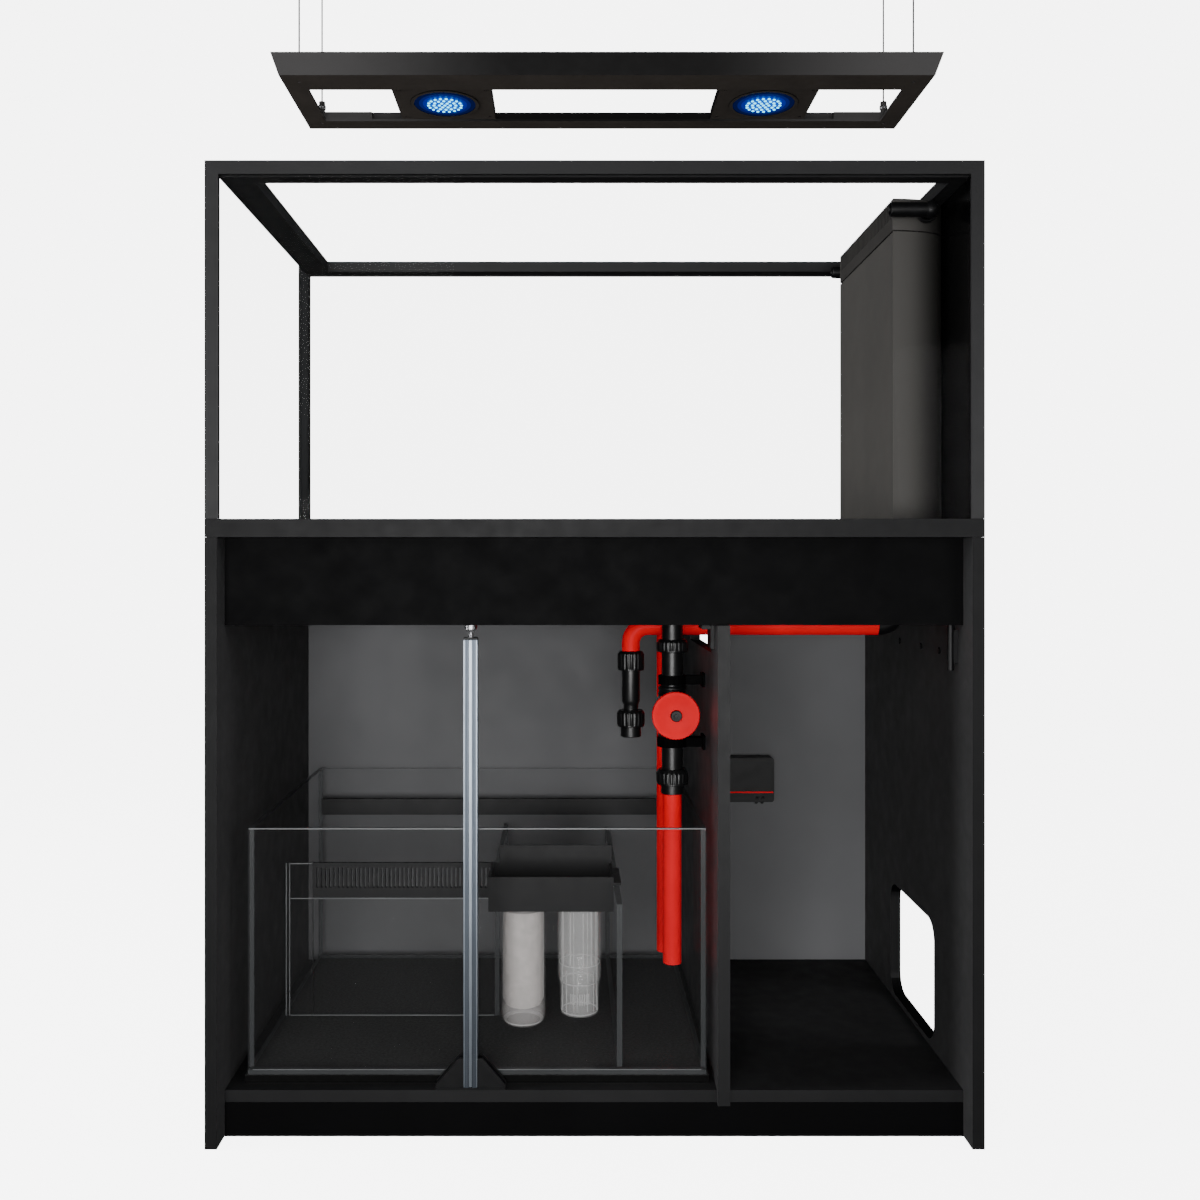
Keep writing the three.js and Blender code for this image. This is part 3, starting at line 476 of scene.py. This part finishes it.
def smooth(made, angle=35):
    """Smooth shading with sharp edges kept."""
    mesh = bmesh.new()
    mesh.from_mesh(made.data)
    for edge in mesh.edges:
        sharp = len(edge.link_faces) != 2 or edge.calc_face_angle(0) > math.radians(angle)
        edge.smooth = not sharp
    for face in mesh.faces:
        face.smooth = True
    mesh.to_mesh(made.data)
    mesh.free()


def carve(made, tool):
    """Cuts a Shape out of a finished piece."""
    data = bpy.data.meshes.new("tool")
    bmesh.ops.recalc_face_normals(tool.mesh, faces=tool.mesh.faces)
    bmesh.ops.transform(tool.mesh, matrix=TO_FRAME, verts=tool.mesh.verts)
    tool.mesh.to_mesh(data)
    tool.mesh.free()
    cutter = bpy.data.objects.new("tool", data)
    bpy.context.scene.collection.objects.link(cutter)
    step = made.modifiers.new("carve", "BOOLEAN")
    step.operation = "DIFFERENCE"
    step.solver = "EXACT"
    step.use_self = True
    step.object = cutter
    bpy.context.view_layer.update()
    result = bpy.data.meshes.new_from_object(made.evaluated_get(bpy.context.evaluated_depsgraph_get()))
    made.modifiers.remove(step)
    made.data = result
    bpy.data.objects.remove(cutter)


def keep(names, look, bevel=0.8):
    """CAD nodes that stay, with a softened edge and a material."""
    for name in names:
        node = nodes[name]
        node.data.materials.clear()
        node.data.materials.append(look.material)
        if bevel:
            soften = node.modifiers.new("edge", "BEVEL")
            soften.width = bevel / 1000
            soften.segments = 2
            soften.limit_method = "ANGLE"
            soften.angle_limit = math.radians(40)


def face_look(made, look, direction):
    """Gives the faces that look along direction another material."""
    data = made.data
    data.materials.append(look.material)
    for face in data.polygons:
        if face.normal.dot(Vector(direction)) > 0.9:
            face.material_index = len(data.materials) - 1


def pane(node, faces, edges, thin_axis, bevel=1.0):
    """A flat glass pane: clear faces, and polished edges that catch the light."""
    low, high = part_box(node)
    x, y, z = ([1000 * low[i], 1000 * high[i]] for i in range(3))
    y = [v + HALF_DEPTH for v in y]
    return Shape().box(x, y, z, bevel, thin_axis=thin_axis).stand_for(node, [faces, edges])


# ---- boards, trims and panes ----

keep(
    ["left_side_panel", "right_side_panel", "plinth", "floor_panel", "front_fascia", "top_panel"],
    LAMINATE)
keep(["divider_panel"], GREY_FACE)
face_look(nodes["divider_panel"], GREY_EDGE, (0, -1, 0))
for name, inward in (("left_side_panel", 1), ("right_side_panel", -1)):
    face_look(nodes[name], LAMINATE_INNER_PAINTED_LIT, (inward, 0, 0))
    face_look(nodes[name], LAMINATE_EDGE, (0, -1, 0))
face_look(nodes["floor_panel"], LAMINATE_TOP_PAINTED_LIT, (0, 0, 1))
face_look(nodes["floor_panel"], GREY_EDGE, (0, -1, 0))
keep(["back_panel"], BACKING)
keep(["front_trim", "rear_trim", "top_brace"], TRIM, 0.5)
keep(["base_tray"], TRIM_PAINTED_SHADE, 0.5)
keep(["bottom_glass"], CLEAR_GLASS, 0)
keep(["sump_mat"], FOAM, 1.5)
face_look(nodes["sump_mat"], FOAM_TOP_PAINTED_LIT, (0, 0, 1))
keep(["support_post"], ALUMINIUM, 0.4)
keep(["post_foot"], BLACK_PLASTIC, 0.5)
keep(["post_cap"], BLACK_PLASTIC, 0.5)
keep(["rear_brace"], GREY_EDGE, 0.8)
keep(["overflow_comb"], OVERFLOW_COMB, 0.3)
keep(["sump_comb"], BLACK_PLASTIC, 0.3)
keep(["pendant_frame"], LIGHT_METAL, 0.5)
# The frame's downward faces take the painted-light copy.
face_look(nodes["pendant_frame"], LIGHT_UNDER_PAINTED_LIT, (0, 0, -1))
keep(["ceiling_bar_left", "ceiling_bar_right"], STEEL, 0.8)
keep(["cup_tray"], BLACK_PLASTIC, 0.6)
keep(["controller"], DARK_PLASTIC, 1.0)
keep(["pipe_clamp_upper", "pipe_clamp_lower"], DULL_PLASTIC, 0.6)
keep(["valve_gate"], BLACK_PLASTIC, 0.3)
keep(["post_adjuster"], STEEL, 0.4)
keep(["door_pivot"], PIVOT_GREY, 0.6)

pane("front_glass", CLEAR_GLASS, TANK_EDGE, 1)
pane("rear_glass", CLEAR_GLASS, TANK_EDGE, 1)
pane("left_glass", CLEAR_GLASS, TANK_EDGE, 0)
pane("right_glass", BLACK_GLASS, BLACK_GLASS, 0)
pane("inlet_wall", SUMP_GLASS, GLASS_EDGE, 0)

# ---- sump ----

low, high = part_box("sump_glass")
SUMP_X = (1000 * low.x, 1000 * high.x)
SUMP_Y = (1000 * low.y + HALF_DEPTH, 1000 * high.y + HALF_DEPTH)
SUMP_Z = (1000 * low.z, 1000 * high.z)
WALL = 8
sump = Shape()
sump.box(SUMP_X, SUMP_Y, (SUMP_Z[0], SUMP_Z[0] + WALL), 0.8, thin_axis=2)
for y in (SUMP_Y[0], SUMP_Y[1] - WALL):
    sump.box(SUMP_X, (y, y + WALL), (SUMP_Z[0] + WALL + 0.2, SUMP_Z[1]), 0.8, thin_axis=1)
for x in (SUMP_X[0], SUMP_X[1] - WALL):
    sump.box((x, x + WALL), (SUMP_Y[0] + WALL + 0.2, SUMP_Y[1] - WALL - 0.2),
             (SUMP_Z[0] + WALL + 0.2, SUMP_Z[1]), 0.8, thin_axis=0)
sump.stand_for("sump_glass", [SUMP_GLASS, GLASS_EDGE])

# The skimmer chamber has a front pane with a notch for its comb, and a side pane.
CHAMBER_Y = (286, 294)
CHAMBER_Z = (93.6, 366)
NOTCH_Z = 304
chamber = Shape()
chamber.box((-543.7, -496), CHAMBER_Y, CHAMBER_Z, 0.6, thin_axis=1)
chamber.box((-495.8, -170.7), CHAMBER_Y, (CHAMBER_Z[0], NOTCH_Z), 0.6, thin_axis=1)
chamber.box((-170.5, -162.5), (CHAMBER_Y[0], 601.7), CHAMBER_Z, 0.6, thin_axis=0)
chamber.stand_for("chamber_wall", [SUMP_GLASS, GLASS_EDGE])

# Painted highlights: thin pale strips along the polished edges stand for the light that they catch.
glints = Shape()
glints.box(
    (SUMP_X[0] + 1, SUMP_X[1] - 1), (SUMP_Y[0] - 0.1, SUMP_Y[0] + 1.4), (SUMP_Z[1] - 1.6, SUMP_Z[1] + 0.2), 0.3)
glints.box(
    (SUMP_X[0] + 8, SUMP_X[1] - 8), (SUMP_Y[0] - 0.1, SUMP_Y[0] + 1.2), (SUMP_Z[0] + 7, SUMP_Z[0] + 8.4), 0.3)
GLINT_Y = (284.8, 286.2)
for x in (-543.4, -537.4):
    glints.box((x, x + 1.6), GLINT_Y, (94, 365.8), 0.3)
for x, z in (((-536, -497), (364.2, 365.9)), ((-535, -172), (302.2, 303.9)), ((-535, -172), (94, 95.6))):
    glints.box(x, GLINT_Y, z, 0.3)
glints.object("glass_edge_glints", GLASS_GLINT, slot="clear_glass")

CUP_Y = 236
CUPS = {"filter_cup": -118, "media_cup": -20.4}


def cup(outside, wall=2.5):
    """A cup's closed profile from its outside, up over the flange and down its inside."""
    bottom = outside[0][1]
    inside = [(r - wall, max(z, bottom + wall)) for r, z in outside[1:]]
    rim = [(38.5, 313.3), (43, 313.3), (43.0, 316.2), (42.2, 317), (36.8, 317), (36, 316.2)]
    return [*outside, *rim, *inside[::-1], (0, bottom + wall)]


filter_outside = [(0, 104), (27, 104), (32, 105), (36, 108.5), (38, 114), (38.5, 122), (38.5, 210)]
media_outside = [
    (0, 121), (29, 121), (32, 122), (33.6, 125), (34, 130), (34, 150), (34.5, 151), (34.5, 168),
    (35, 169), (35, 176), (38, 181), (38, 216), (38.5, 220), (38.5, 262),
]
Shape().lathe(cup(filter_outside), (0, CUP_Y, 0)).stand_for(
    "filter_cup", FROSTED, (CUPS["filter_cup"], 0, 0))
Shape().lathe(cup(media_outside), (0, CUP_Y, 0)).stand_for(
    "media_cup", CLEAR_PLASTIC, (CUPS["media_cup"], 0, 0))

# Filter wool lines one cup, and a bed of fine ribs shows through the other. Thin bright uprights on both cups
# and bright rings on their walls are painted highlights.
wool = Shape().lathe(
    [(0, 131), (20, 132), (31, 137), (35, 146), (35, 296), (33, 300), (31, 296), (31, 148), (0, 138)],
    (CUPS["filter_cup"], CUP_Y, 0))
wool.object("filter_wool", FILTER_WOOL, BODY_OF["filter_cup"], slot="clear_plastic")
ribs_and_highlights = Shape()


def upright(shape, cup_x, reach, degrees, radius, z, steps=10):
    """A thin upright line on a cup's wall, at an angle round the cup."""
    angle = math.radians(degrees)
    place = (cup_x + reach * math.cos(angle), CUP_Y + reach * math.sin(angle), 0)
    shape.rod(radius, z, place, steps=steps, edge=0.3)


media_x = CUPS["media_cup"]
for degrees, radius, z in (
    (192, 1.6, (126, 300)), (205, 0.7, (204, 300)), (222, 1.0, (126, 198)), (238, 1.5, (206, 300)),
    (250, 0.7, (130, 300)), (262, 0.6, (130, 196)), (281, 1.2, (206, 300)), (296, 0.8, (130, 300)),
    (311, 1.7, (206, 300)), (322, 0.7, (128, 196)), (334, 0.9, (206, 300)), (348, 1.6, (126, 300)),
):
    upright(ribs_and_highlights, media_x, 30.4, degrees, radius, z)
for i in range(9):
    upright(ribs_and_highlights, media_x, 24, 230 + 10 * i, 1.2, (140, 158), 8)
for outline in (
    [(30.4, 124.2), (32, 124.6), (32.4, 126), (30.8, 126.4)],
    [(32, 175.2), (33.2, 176), (33.6, 177.4), (32, 177.4)],
    [(34.6, 207.2), (35.8, 208), (35.8, 208.8), (34.6, 208.8)],
):
    ribs_and_highlights.lathe(outline, (media_x, CUP_Y, 0))
ribs_and_highlights.object("media_cup_ribs_and_painted_highlights", PLASTIC_GLINT, BODY_OF["media_cup"], slot="clear_plastic")
# Painted highlights on the filter cup: a bright ring at its base and thin uprights on its wall.
rim = Shape()
filter_x = CUPS["filter_cup"]
rim.lathe([(29.4, 107.2), (33.6, 108.6), (34.4, 111), (32.8, 111), (29.4, 108.8)], (filter_x, CUP_Y, 0))
for degrees, radius in ((184, 1.3), (352, 1.6), (318, 0.7)):
    upright(rim, filter_x, 35.1 * 0.98, degrees, radius, (146, 300))
rim.object("filter_cup_painted_highlights", PLASTIC_GLINT, BODY_OF["filter_cup"], slot="clear_plastic")

# ---- return line ----

RUN_Z = 788.5
RETURN_Y = 290
UNION_X = 72
RISER_X = 545
NOZZLE_Z = 1473
PIPE_R = 16
run = Shape().pipe([(UNION_X, RETURN_Y, 728), (UNION_X, RETURN_Y, RUN_Z), (512, RETURN_Y, RUN_Z)], PIPE_R, 30)
run.stand_for("return_pipe", RED_PLASTIC)

riser = Shape().pipe(
    [(512.3, RETURN_Y, RUN_Z), (RISER_X, RETURN_Y, RUN_Z), (RISER_X, RETURN_Y, NOZZLE_Z)], PIPE_R, 28)
riser.rod(13, (106.6, 487.4), (RISER_X, 0, NOZZLE_Z), "Y")
riser.rod(PIPE_R, (106.6, 113.7), (RISER_X, 0, NOZZLE_Z), "Y", edge=1.5)
riser.rod(PIPE_R, (480.3, 487.4), (RISER_X, 0, NOZZLE_Z), "Y", edge=1.5)
riser.stand_for("return_riser", BLACK_PLASTIC)

BALL_R = 14
BALL_STEPS = 20
for node, y in (("front_nozzle", 92), ("rear_nozzle", 502)):
    nozzle = Shape()
    ball = [
        (BALL_R * math.sin(math.pi * i / BALL_STEPS), -BALL_R * math.cos(math.pi * i / BALL_STEPS))
        for i in range(BALL_STEPS + 1)
    ]
    nozzle.lathe([(max(r, 0), z) for r, z in ball], (RISER_X, y, NOZZLE_Z), "Y")
    nozzle.lathe(
        [(0, 26), (8, 28), (8, 62), (8.6, 65), (10.2, 65), (11.2, 64), (11.7, 60), (12, 40), (12, 0),
         (0, 0)],
        (RISER_X, y, NOZZLE_Z), "-X", steps=56)
    nozzle.stand_for(node, BLACK_PLASTIC)


def nut(shape, radius, bore, z, centre, flutes=20):
    """A union nut: fluted grip, plain collar at the bottom and a chamfered top."""
    low, high = z
    shape.lathe(
        [(bore, low), (radius - 1.4, low), (radius - 0.6, low + 1), (radius - 0.6, low + 3),
         (radius, low + 4), (radius, high - 5), (radius - 1, high - 4), (radius - 3, high - 1),
         (radius - 4, high), (bore, high)],
        centre, steps=flutes * 8, ripple=(flutes, 1.4, radius - 0.05))
    return shape


nut(Shape(), 23.8, 16.3, (709.8, 744.1), (UNION_X, RETURN_Y, 0)).stand_for("return_upper_nut", FITTING)
nut(Shape(), 24.7, 13.4, (609.7, 639), (UNION_X, RETURN_Y, 0)).stand_for("return_lower_nut", FITTING)
Shape().lathe(
    [(10, 591.3), (17.2, 591.3), (18.3, 592.4), (18.3, 608.6), (17.6, 609.4), (13.1, 609.4), (13.1, 647),
     (13.6, 649), (15.4, 653.5), (16, 656), (16, 700), (16, 727.7), (0, 727.7), (0, 621), (10, 621)],
    (UNION_X, RETURN_Y, 0)).stand_for("return_adapter", FITTING)

# ---- drains and valve ----

STACK_X = 138.5
DRAIN_Y = 209
VALVE_Z = 648


def drain(y, radius, top, bottom):
    return Shape().pipe(
        [(540, y, top), (540, y, 860), (STACK_X, y, 860), (STACK_X, y, bottom)], radius, 40, mouth=38)


drain(DRAIN_Y, 18, 1400, 748.6).stand_for("drain_run", FITTING)
drain(345, PIPE_R, 1440, 191).stand_for("emergency_pipe", RED_PLASTIC)
tail = Shape().pipe([(STACK_X, DRAIN_Y, 216), (STACK_X, DRAIN_Y, 535.6)], PIPE_R, 1, mouth=38)
tail.stand_for("drain_tail_pipe", RED_PLASTIC)

nut(Shape(), 27.0, 18.3, (748.9, 770.2), (STACK_X, DRAIN_Y, 0), 22).stand_for("drain_upper_nut", FITTING)
lower_nut = Shape().lathe(
    [(16.3, 506.2), (18.6, 506.2), (19.3, 507), (19.3, 522.5), (25.6, 522.5), (26.4, 523.5), (26.4, 526),
     (27.4, 527), (27.4, 542), (26.4, 543), (24, 547.7), (23, 548.7), (18.3, 548.7), (18.3, 535.7),
     (16.3, 535.7)],
    (STACK_X, DRAIN_Y, 0), steps=176, ripple=(22, 1.4, 27.2))
lower_nut.stand_for("drain_lower_nut", FITTING)

valve = Shape()
valve.lathe(
    [(12, 536), (17.4, 536), (18, 536.6), (18, 602.5), (22, 603), (24, 605), (24, 612), (22.8, 613.5),
     (22.8, 618), (24, 619.5), (24, 678), (22.8, 679.5), (22.8, 684), (24, 685.5), (24, 688), (22, 690),
     (18, 690.5), (18, 747.7), (17.4, 748.3), (12, 748.3)],
    (STACK_X, DRAIN_Y, 0))
valve.box((STACK_X - 26, STACK_X + 26), (170, DRAIN_Y - 14), (VALVE_Z - 26, VALVE_Z + 26), 3)
valve.box((STACK_X - 30, STACK_X + 30), (162, 170.1), (VALVE_Z - 30, VALVE_Z + 30), 2)
valve.rod(9, (160.4, 163), (STACK_X, 0, VALVE_Z), "Y", bore=4.4)
for side in (-1, 1):
    for up in (-1, 1):
        valve.rod(4, (160.2, 163), (STACK_X + side * 24, 0, VALVE_Z + up * 24), "Y", steps=6, edge=0.5)
pocket = Shape()
pocket.box((STACK_X - 14.5, STACK_X + 14.5), (172, 226.5), (VALVE_Z - 3, VALVE_Z + 3), 0)
pocket.rod(4.4, (149, 198), (STACK_X, 0, VALVE_Z), "Y", steps=32, edge=0.1)
carve(valve.stand_for("valve_body", FITTING), pocket)

wheel = Shape()
wheel.lathe(
    [(4.4, -75), (7.2, -75), (8, -74.2), (8, -71.6), (10, -71), (10, -69.6), (30, -69.6), (32, -71),
     (38.4, -71), (40, -69.4), (40, -62.6), (38.4, -61), (8, -61), (8, -47.5), (4.4, -47.5)],
    (STACK_X, DRAIN_Y, VALVE_Z), "Y", steps=192, ripple=(48, 0.9, 39.9))
wheel.stand_for("valve_handle", RED_WHEEL)
hub = Shape().lathe(
    [(4.4, -77), (8.4, -77), (9.4, -76), (9.6, -71.2), (4.4, -71.2)], (STACK_X, DRAIN_Y, VALVE_Z), "Y")
hub.object("valve_hub_cap", BLACK_PLASTIC, BODY_OF["valve_handle"], slot="black_plastic")

# ---- overflow box ----

# The front wall bows back towards the end pane. A seam runs round the box at the comb's sill.
OVER_X = (491, 583.4)
OVER_Y = (114, 480)
SILL = 1446


def bowed_front(inner):
    """The front wall's line in plan, from the corner to the end pane."""
    reach = OVER_X[1] - OVER_X[0]
    return [
        (OVER_X[0] + reach * math.sin(math.pi / 2 * i / 16),
         OVER_Y[0] + inner + 46 * (1 - math.cos(math.pi / 2 * i / 16)))
        for i in range(17)
    ]


overflow = Shape()
for z in ((958.1, SILL - 1.8), (SILL + 0.4, 1498)):
    overflow.prism([*bowed_front(0), *bowed_front(5)[::-1]], z)
    overflow.box(OVER_X, (475, 480), z, 0.5)
overflow.box((491, 496), (119.2, 474.8), (958.1, SILL - 2.2), 0.5)
overflow.stand_for("overflow_box", OVERFLOW_BLACK)

# ---- light ----

LIGHT_X = 26
LAMP_X = 291
LAMP_Y = 336.5
LAMP_HALF = 88.5
for node, x in (("led_left", LIGHT_X - LAMP_X), ("led_right", LIGHT_X + LAMP_X)):
    lamp = Shape()
    size_x = (x - LAMP_HALF, x + LAMP_HALF)
    lamp.box(size_x, (264.3, 408.7), (1740, 1757), 1.2)
    lamp.box(size_x, (258.3, 414.7), (1740.3, 1744), 0.6)
    for i in range(8):
        lamp.box((x - 84 + 22 * i, x - 70 + 22 * i), (278, 395), (1756.5, 1771), 0.8)
    lamp.lathe([(56, 1738.4), (62, 1738.4), (63, 1739.2), (63, 1740.5), (56, 1740.5)], (x, LAMP_Y, 0))
    for corner in ((-1, -1), (-1, 1), (1, -1), (1, 1)):
        lamp.rod(2.6, (1738.8, 1740.4), (x + corner[0] * 78, LAMP_Y + corner[1] * 62, 0), steps=16, edge=0.4)
    face_look(lamp.stand_for(node, LAMP_METAL), LIGHT_UNDER_PAINTED_LIT, (0, 0, -1))
    lens = Shape()
    for material, (inner, outer, look) in enumerate(LED_RINGS):
        lens.lathe(
            [(inner, 1737.4 + inner / 30), (outer, 1737.4 + outer / 30), (outer, 1740.2), (inner, 1740.2)],
            (x, LAMP_Y, 0), material=material)
    lens.object(node + "_lens", [look for inner, outer, look in LED_RINGS], PENDANT, slot="clear_glass")
    chips = Shape()
    for ring, count in ((0, 1), (10, 6), (20, 12), (30, 18)):
        for i in range(count):
            angle = math.tau * i / count
            place = (x + ring * math.cos(angle), LAMP_Y + ring * math.sin(angle), 0)
            chips.rod(2.6, (1736.2, 1737.3), place, steps=12, edge=0.3)
    chips.object(node + "_chips", LED_CHIP, PENDANT, slot="clear_glass")

# Cable grippers: a knurled collet on each corner bracket.
WIRES = {
    "wire_front_left": (-507, 230), "wire_front_right": (559, 230),
    "wire_rear_left": (-507, 420), "wire_rear_right": (559, 420),
}
for wire, (x, y) in WIRES.items():
    corner = wire.removeprefix("wire_")
    collet = Shape().lathe(
        [(2.6, 1762), (6.8, 1762), (7.4, 1762.6), (7.4, 1768.4), (6.8, 1769), (6.1, 1769.4), (2.6, 1769.4)],
        (x, y, 0), steps=96, ripple=(24, 0.5, 7.3))
    collet.object("collet_" + corner, STEEL, PENDANT, slot="steel")

# ---- wires ----

WIRE_Z = (1742, 1984.7)
WIRE_R = 1.5
WIRE_POINTS = 8
for wire, (x, y) in WIRES.items():
    line = bpy.data.curves.new("new_" + wire, "CURVE")
    line.dimensions = "3D"
    spline = line.splines.new("POLY")
    spline.points.add(WIRE_POINTS - 1)
    for i, point in enumerate(spline.points):
        z = WIRE_Z[0] + (WIRE_Z[1] - WIRE_Z[0]) * i / (WIRE_POINTS - 1)
        point.co = (*at(x, y, z), 1)
    line.bevel_depth = WIRE_R / 1000
    line.bevel_resolution = 5
    line.use_fill_caps = True
    line.materials.append(WIRE_STEEL.material)
    made = bpy.data.objects.new("new_" + wire, line)
    bpy.context.scene.collection.objects.link(made)
    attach(made, STAND)
    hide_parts(wire)
    sleeve = Shape().lathe(
        [(1.7, 1984.4), (4, 1984.4), (7, 1988), (7.4, 1989), (7.4, 1997), (6.8, 1999), (1.7, 1999)],
        (x, y, 0), steps=96, ripple=(24, 0.5, 7.3))
    fitting = sleeve.object("ceiling_sleeve_" + wire.removeprefix("wire_"), STEEL, slot="steel")

# ---- small fittings on the cabinet ----

# A cover strip fills the post's front slot, and its bright colour is a painted highlight. Dark strips beside it
# are painted shadow, and pale strips at the post's edges are painted highlights.
POST_X = -194.5
POST_FRONT = 41
POST_Z = (77, 780)
post_highlight_strip = Shape()
post_highlight_strip.box((POST_X - 2.3, POST_X + 2.3), (POST_FRONT + 0.3, POST_FRONT + 1.9), POST_Z, 0.3)
post_highlight_strip.object("post_cover_strip_painted_highlight", PAINTED_HIGHLIGHT_LINE, slot="aluminium")
post_shadow = Shape()
for x in (POST_X - 6.2, POST_X + 5.0):
    post_shadow.box((x, x + 1.2), (POST_FRONT - 0.12, POST_FRONT + 0.3), POST_Z, 0.05)
post_shadow.object("post_shadow_lines", PAINTED_SHADOW_LINE, slot="aluminium")
post_edge_highlights = Shape()
for x in (POST_X - 10.6, POST_X + 9.2):
    post_edge_highlights.box((x, x + 1.4), (POST_FRONT - 0.15, POST_FRONT + 0.3), POST_Z, 0.05)
post_edge_highlights.object("post_edge_painted_highlights", PAINTED_HIGHLIGHT_LINE, slot="aluminium")

screws = Shape()
for y in (155, 254, 384):
    screws.rod(6, (577.4, 580.8), (0, y, 755), "X", steps=32, edge=1.2)
screws.object("panel_screws", BLACK_PLASTIC, slot="black_plastic")

bracket = Shape()
bracket.box((186.5, 192.9), (64, 110), (764, 803), 1.5)
bracket.box((172, 187), (64, 110), (796, 803), 1.5)
bracket.object("divider_bracket", BLACK_PLASTIC, slot="black_plastic")

face = Shape()
face.box((256, 382), (598.6, 600.2), (428, 431), 0.3)
face.object("controller_stripe", RED_PLASTIC, slot="red_plastic")
plugs = Shape()
for x in (269, 281, 349, 361):
    plugs.rod(2.6, (594, 601), (x, 0, 418), "Y", steps=20, edge=0.5)
    plugs.rod(3.4, (404, 409), (x, 612, 0), steps=20, edge=0.5)
plugs.object("controller_plugs", BLACK_PLASTIC, slot="black_plastic")

# Silicone seams in the tank's clear corners.
SEAM_X = -583.2
seams = Shape()
for y in (17, 633):
    seams.box((SEAM_X - 0.2, SEAM_X + 1.6), (y - 0.6, y + 0.6), (960, 1500), 0.4)
seams.object("silicone_seams", TANK_EDGE, slot="foam")

# ---- floor, backdrop and lights ----


def stage_sheet(name, corners, look):
    """A flat studio surface, which is not part of the object."""
    data = bpy.data.meshes.new(name)
    data.from_pydata(corners, [], [(0, 1, 2, 3)])
    data.materials.append(look.material)
    made = bpy.data.objects.new(name, data)
    made.visible_glossy = False
    made.visible_diffuse = False
    bpy.context.scene.collection.objects.link(made)


PALE = Look("studio_white", (0.9, 0.9, 0.9), 0.9, Specular_IOR_Level=0)
PALE.mottle(2, 0.01)
PALE.shader.inputs["Emission Color"].default_value = (1, 1, 1, 1)
PALE.shader.inputs["Emission Strength"].default_value = 6
SIZE = 9
BACK = 6
FLOOR_Z = -0.001
stage_sheet(
    "floor", [(x, y, FLOOR_Z) for x, y in ((-SIZE, -SIZE), (SIZE, -SIZE), (SIZE, SIZE), (-SIZE, SIZE))], PALE)
stage_sheet("backdrop", [(-SIZE, BACK, 0), (SIZE, BACK, 0), (SIZE, BACK, SIZE), (-SIZE, BACK, SIZE)], PALE)

# The room is bright above and dim below, so that undersides stay dark.
world = bpy.data.worlds.new("studio")
bpy.context.scene.world = world
world.use_nodes = True
tree = world.node_tree
direction = tree.nodes.new("ShaderNodeTexCoord")
parts = tree.nodes.new("ShaderNodeSeparateXYZ")
fade = tree.nodes.new("ShaderNodeMapRange")
fade.inputs["From Min"].default_value = -0.12
fade.inputs["From Max"].default_value = 0.12
fade.inputs["To Min"].default_value = 0.42
fade.inputs["To Max"].default_value = 1.1
tree.links.new(direction.outputs["Generated"], parts.inputs["Vector"])
tree.links.new(parts.outputs["Z"], fade.inputs["Value"])
tree.links.new(fade.outputs["Result"], tree.nodes["Background"].inputs["Strength"])


def area_light(name, place, target, size, power):
    data = bpy.data.lights.new(name, "AREA")
    data.shape = "RECTANGLE"
    data.size, data.size_y = size
    data.energy = power
    lamp = bpy.data.objects.new(name, data)
    lamp.location = place
    lamp.rotation_euler = (Vector(target) - Vector(place)).to_track_quat("-Z", "Y").to_euler()
    bpy.context.scene.collection.objects.link(lamp)


area_light("key", (-1.2, -3.4, 2.2), (0, 0.2, 0.7), (1.4, 1.4), 22)
area_light("low", (-0.3, -3.2, 0.55), (0, 0.3, 0.5), (1.8, 1.2), 95)
area_light("fill", (1.9, -3.2, 1.2), (0, 0.2, 0.6), (1.2, 1.2), 22)
area_light("left", (-3.2, -0.5, 1.5), (0, 0, 1.35), (1.0, 1.6), 120)
area_light("right", (3.2, -0.8, 1.7), (0, 0, 1.6), (0.8, 1.2), 40)
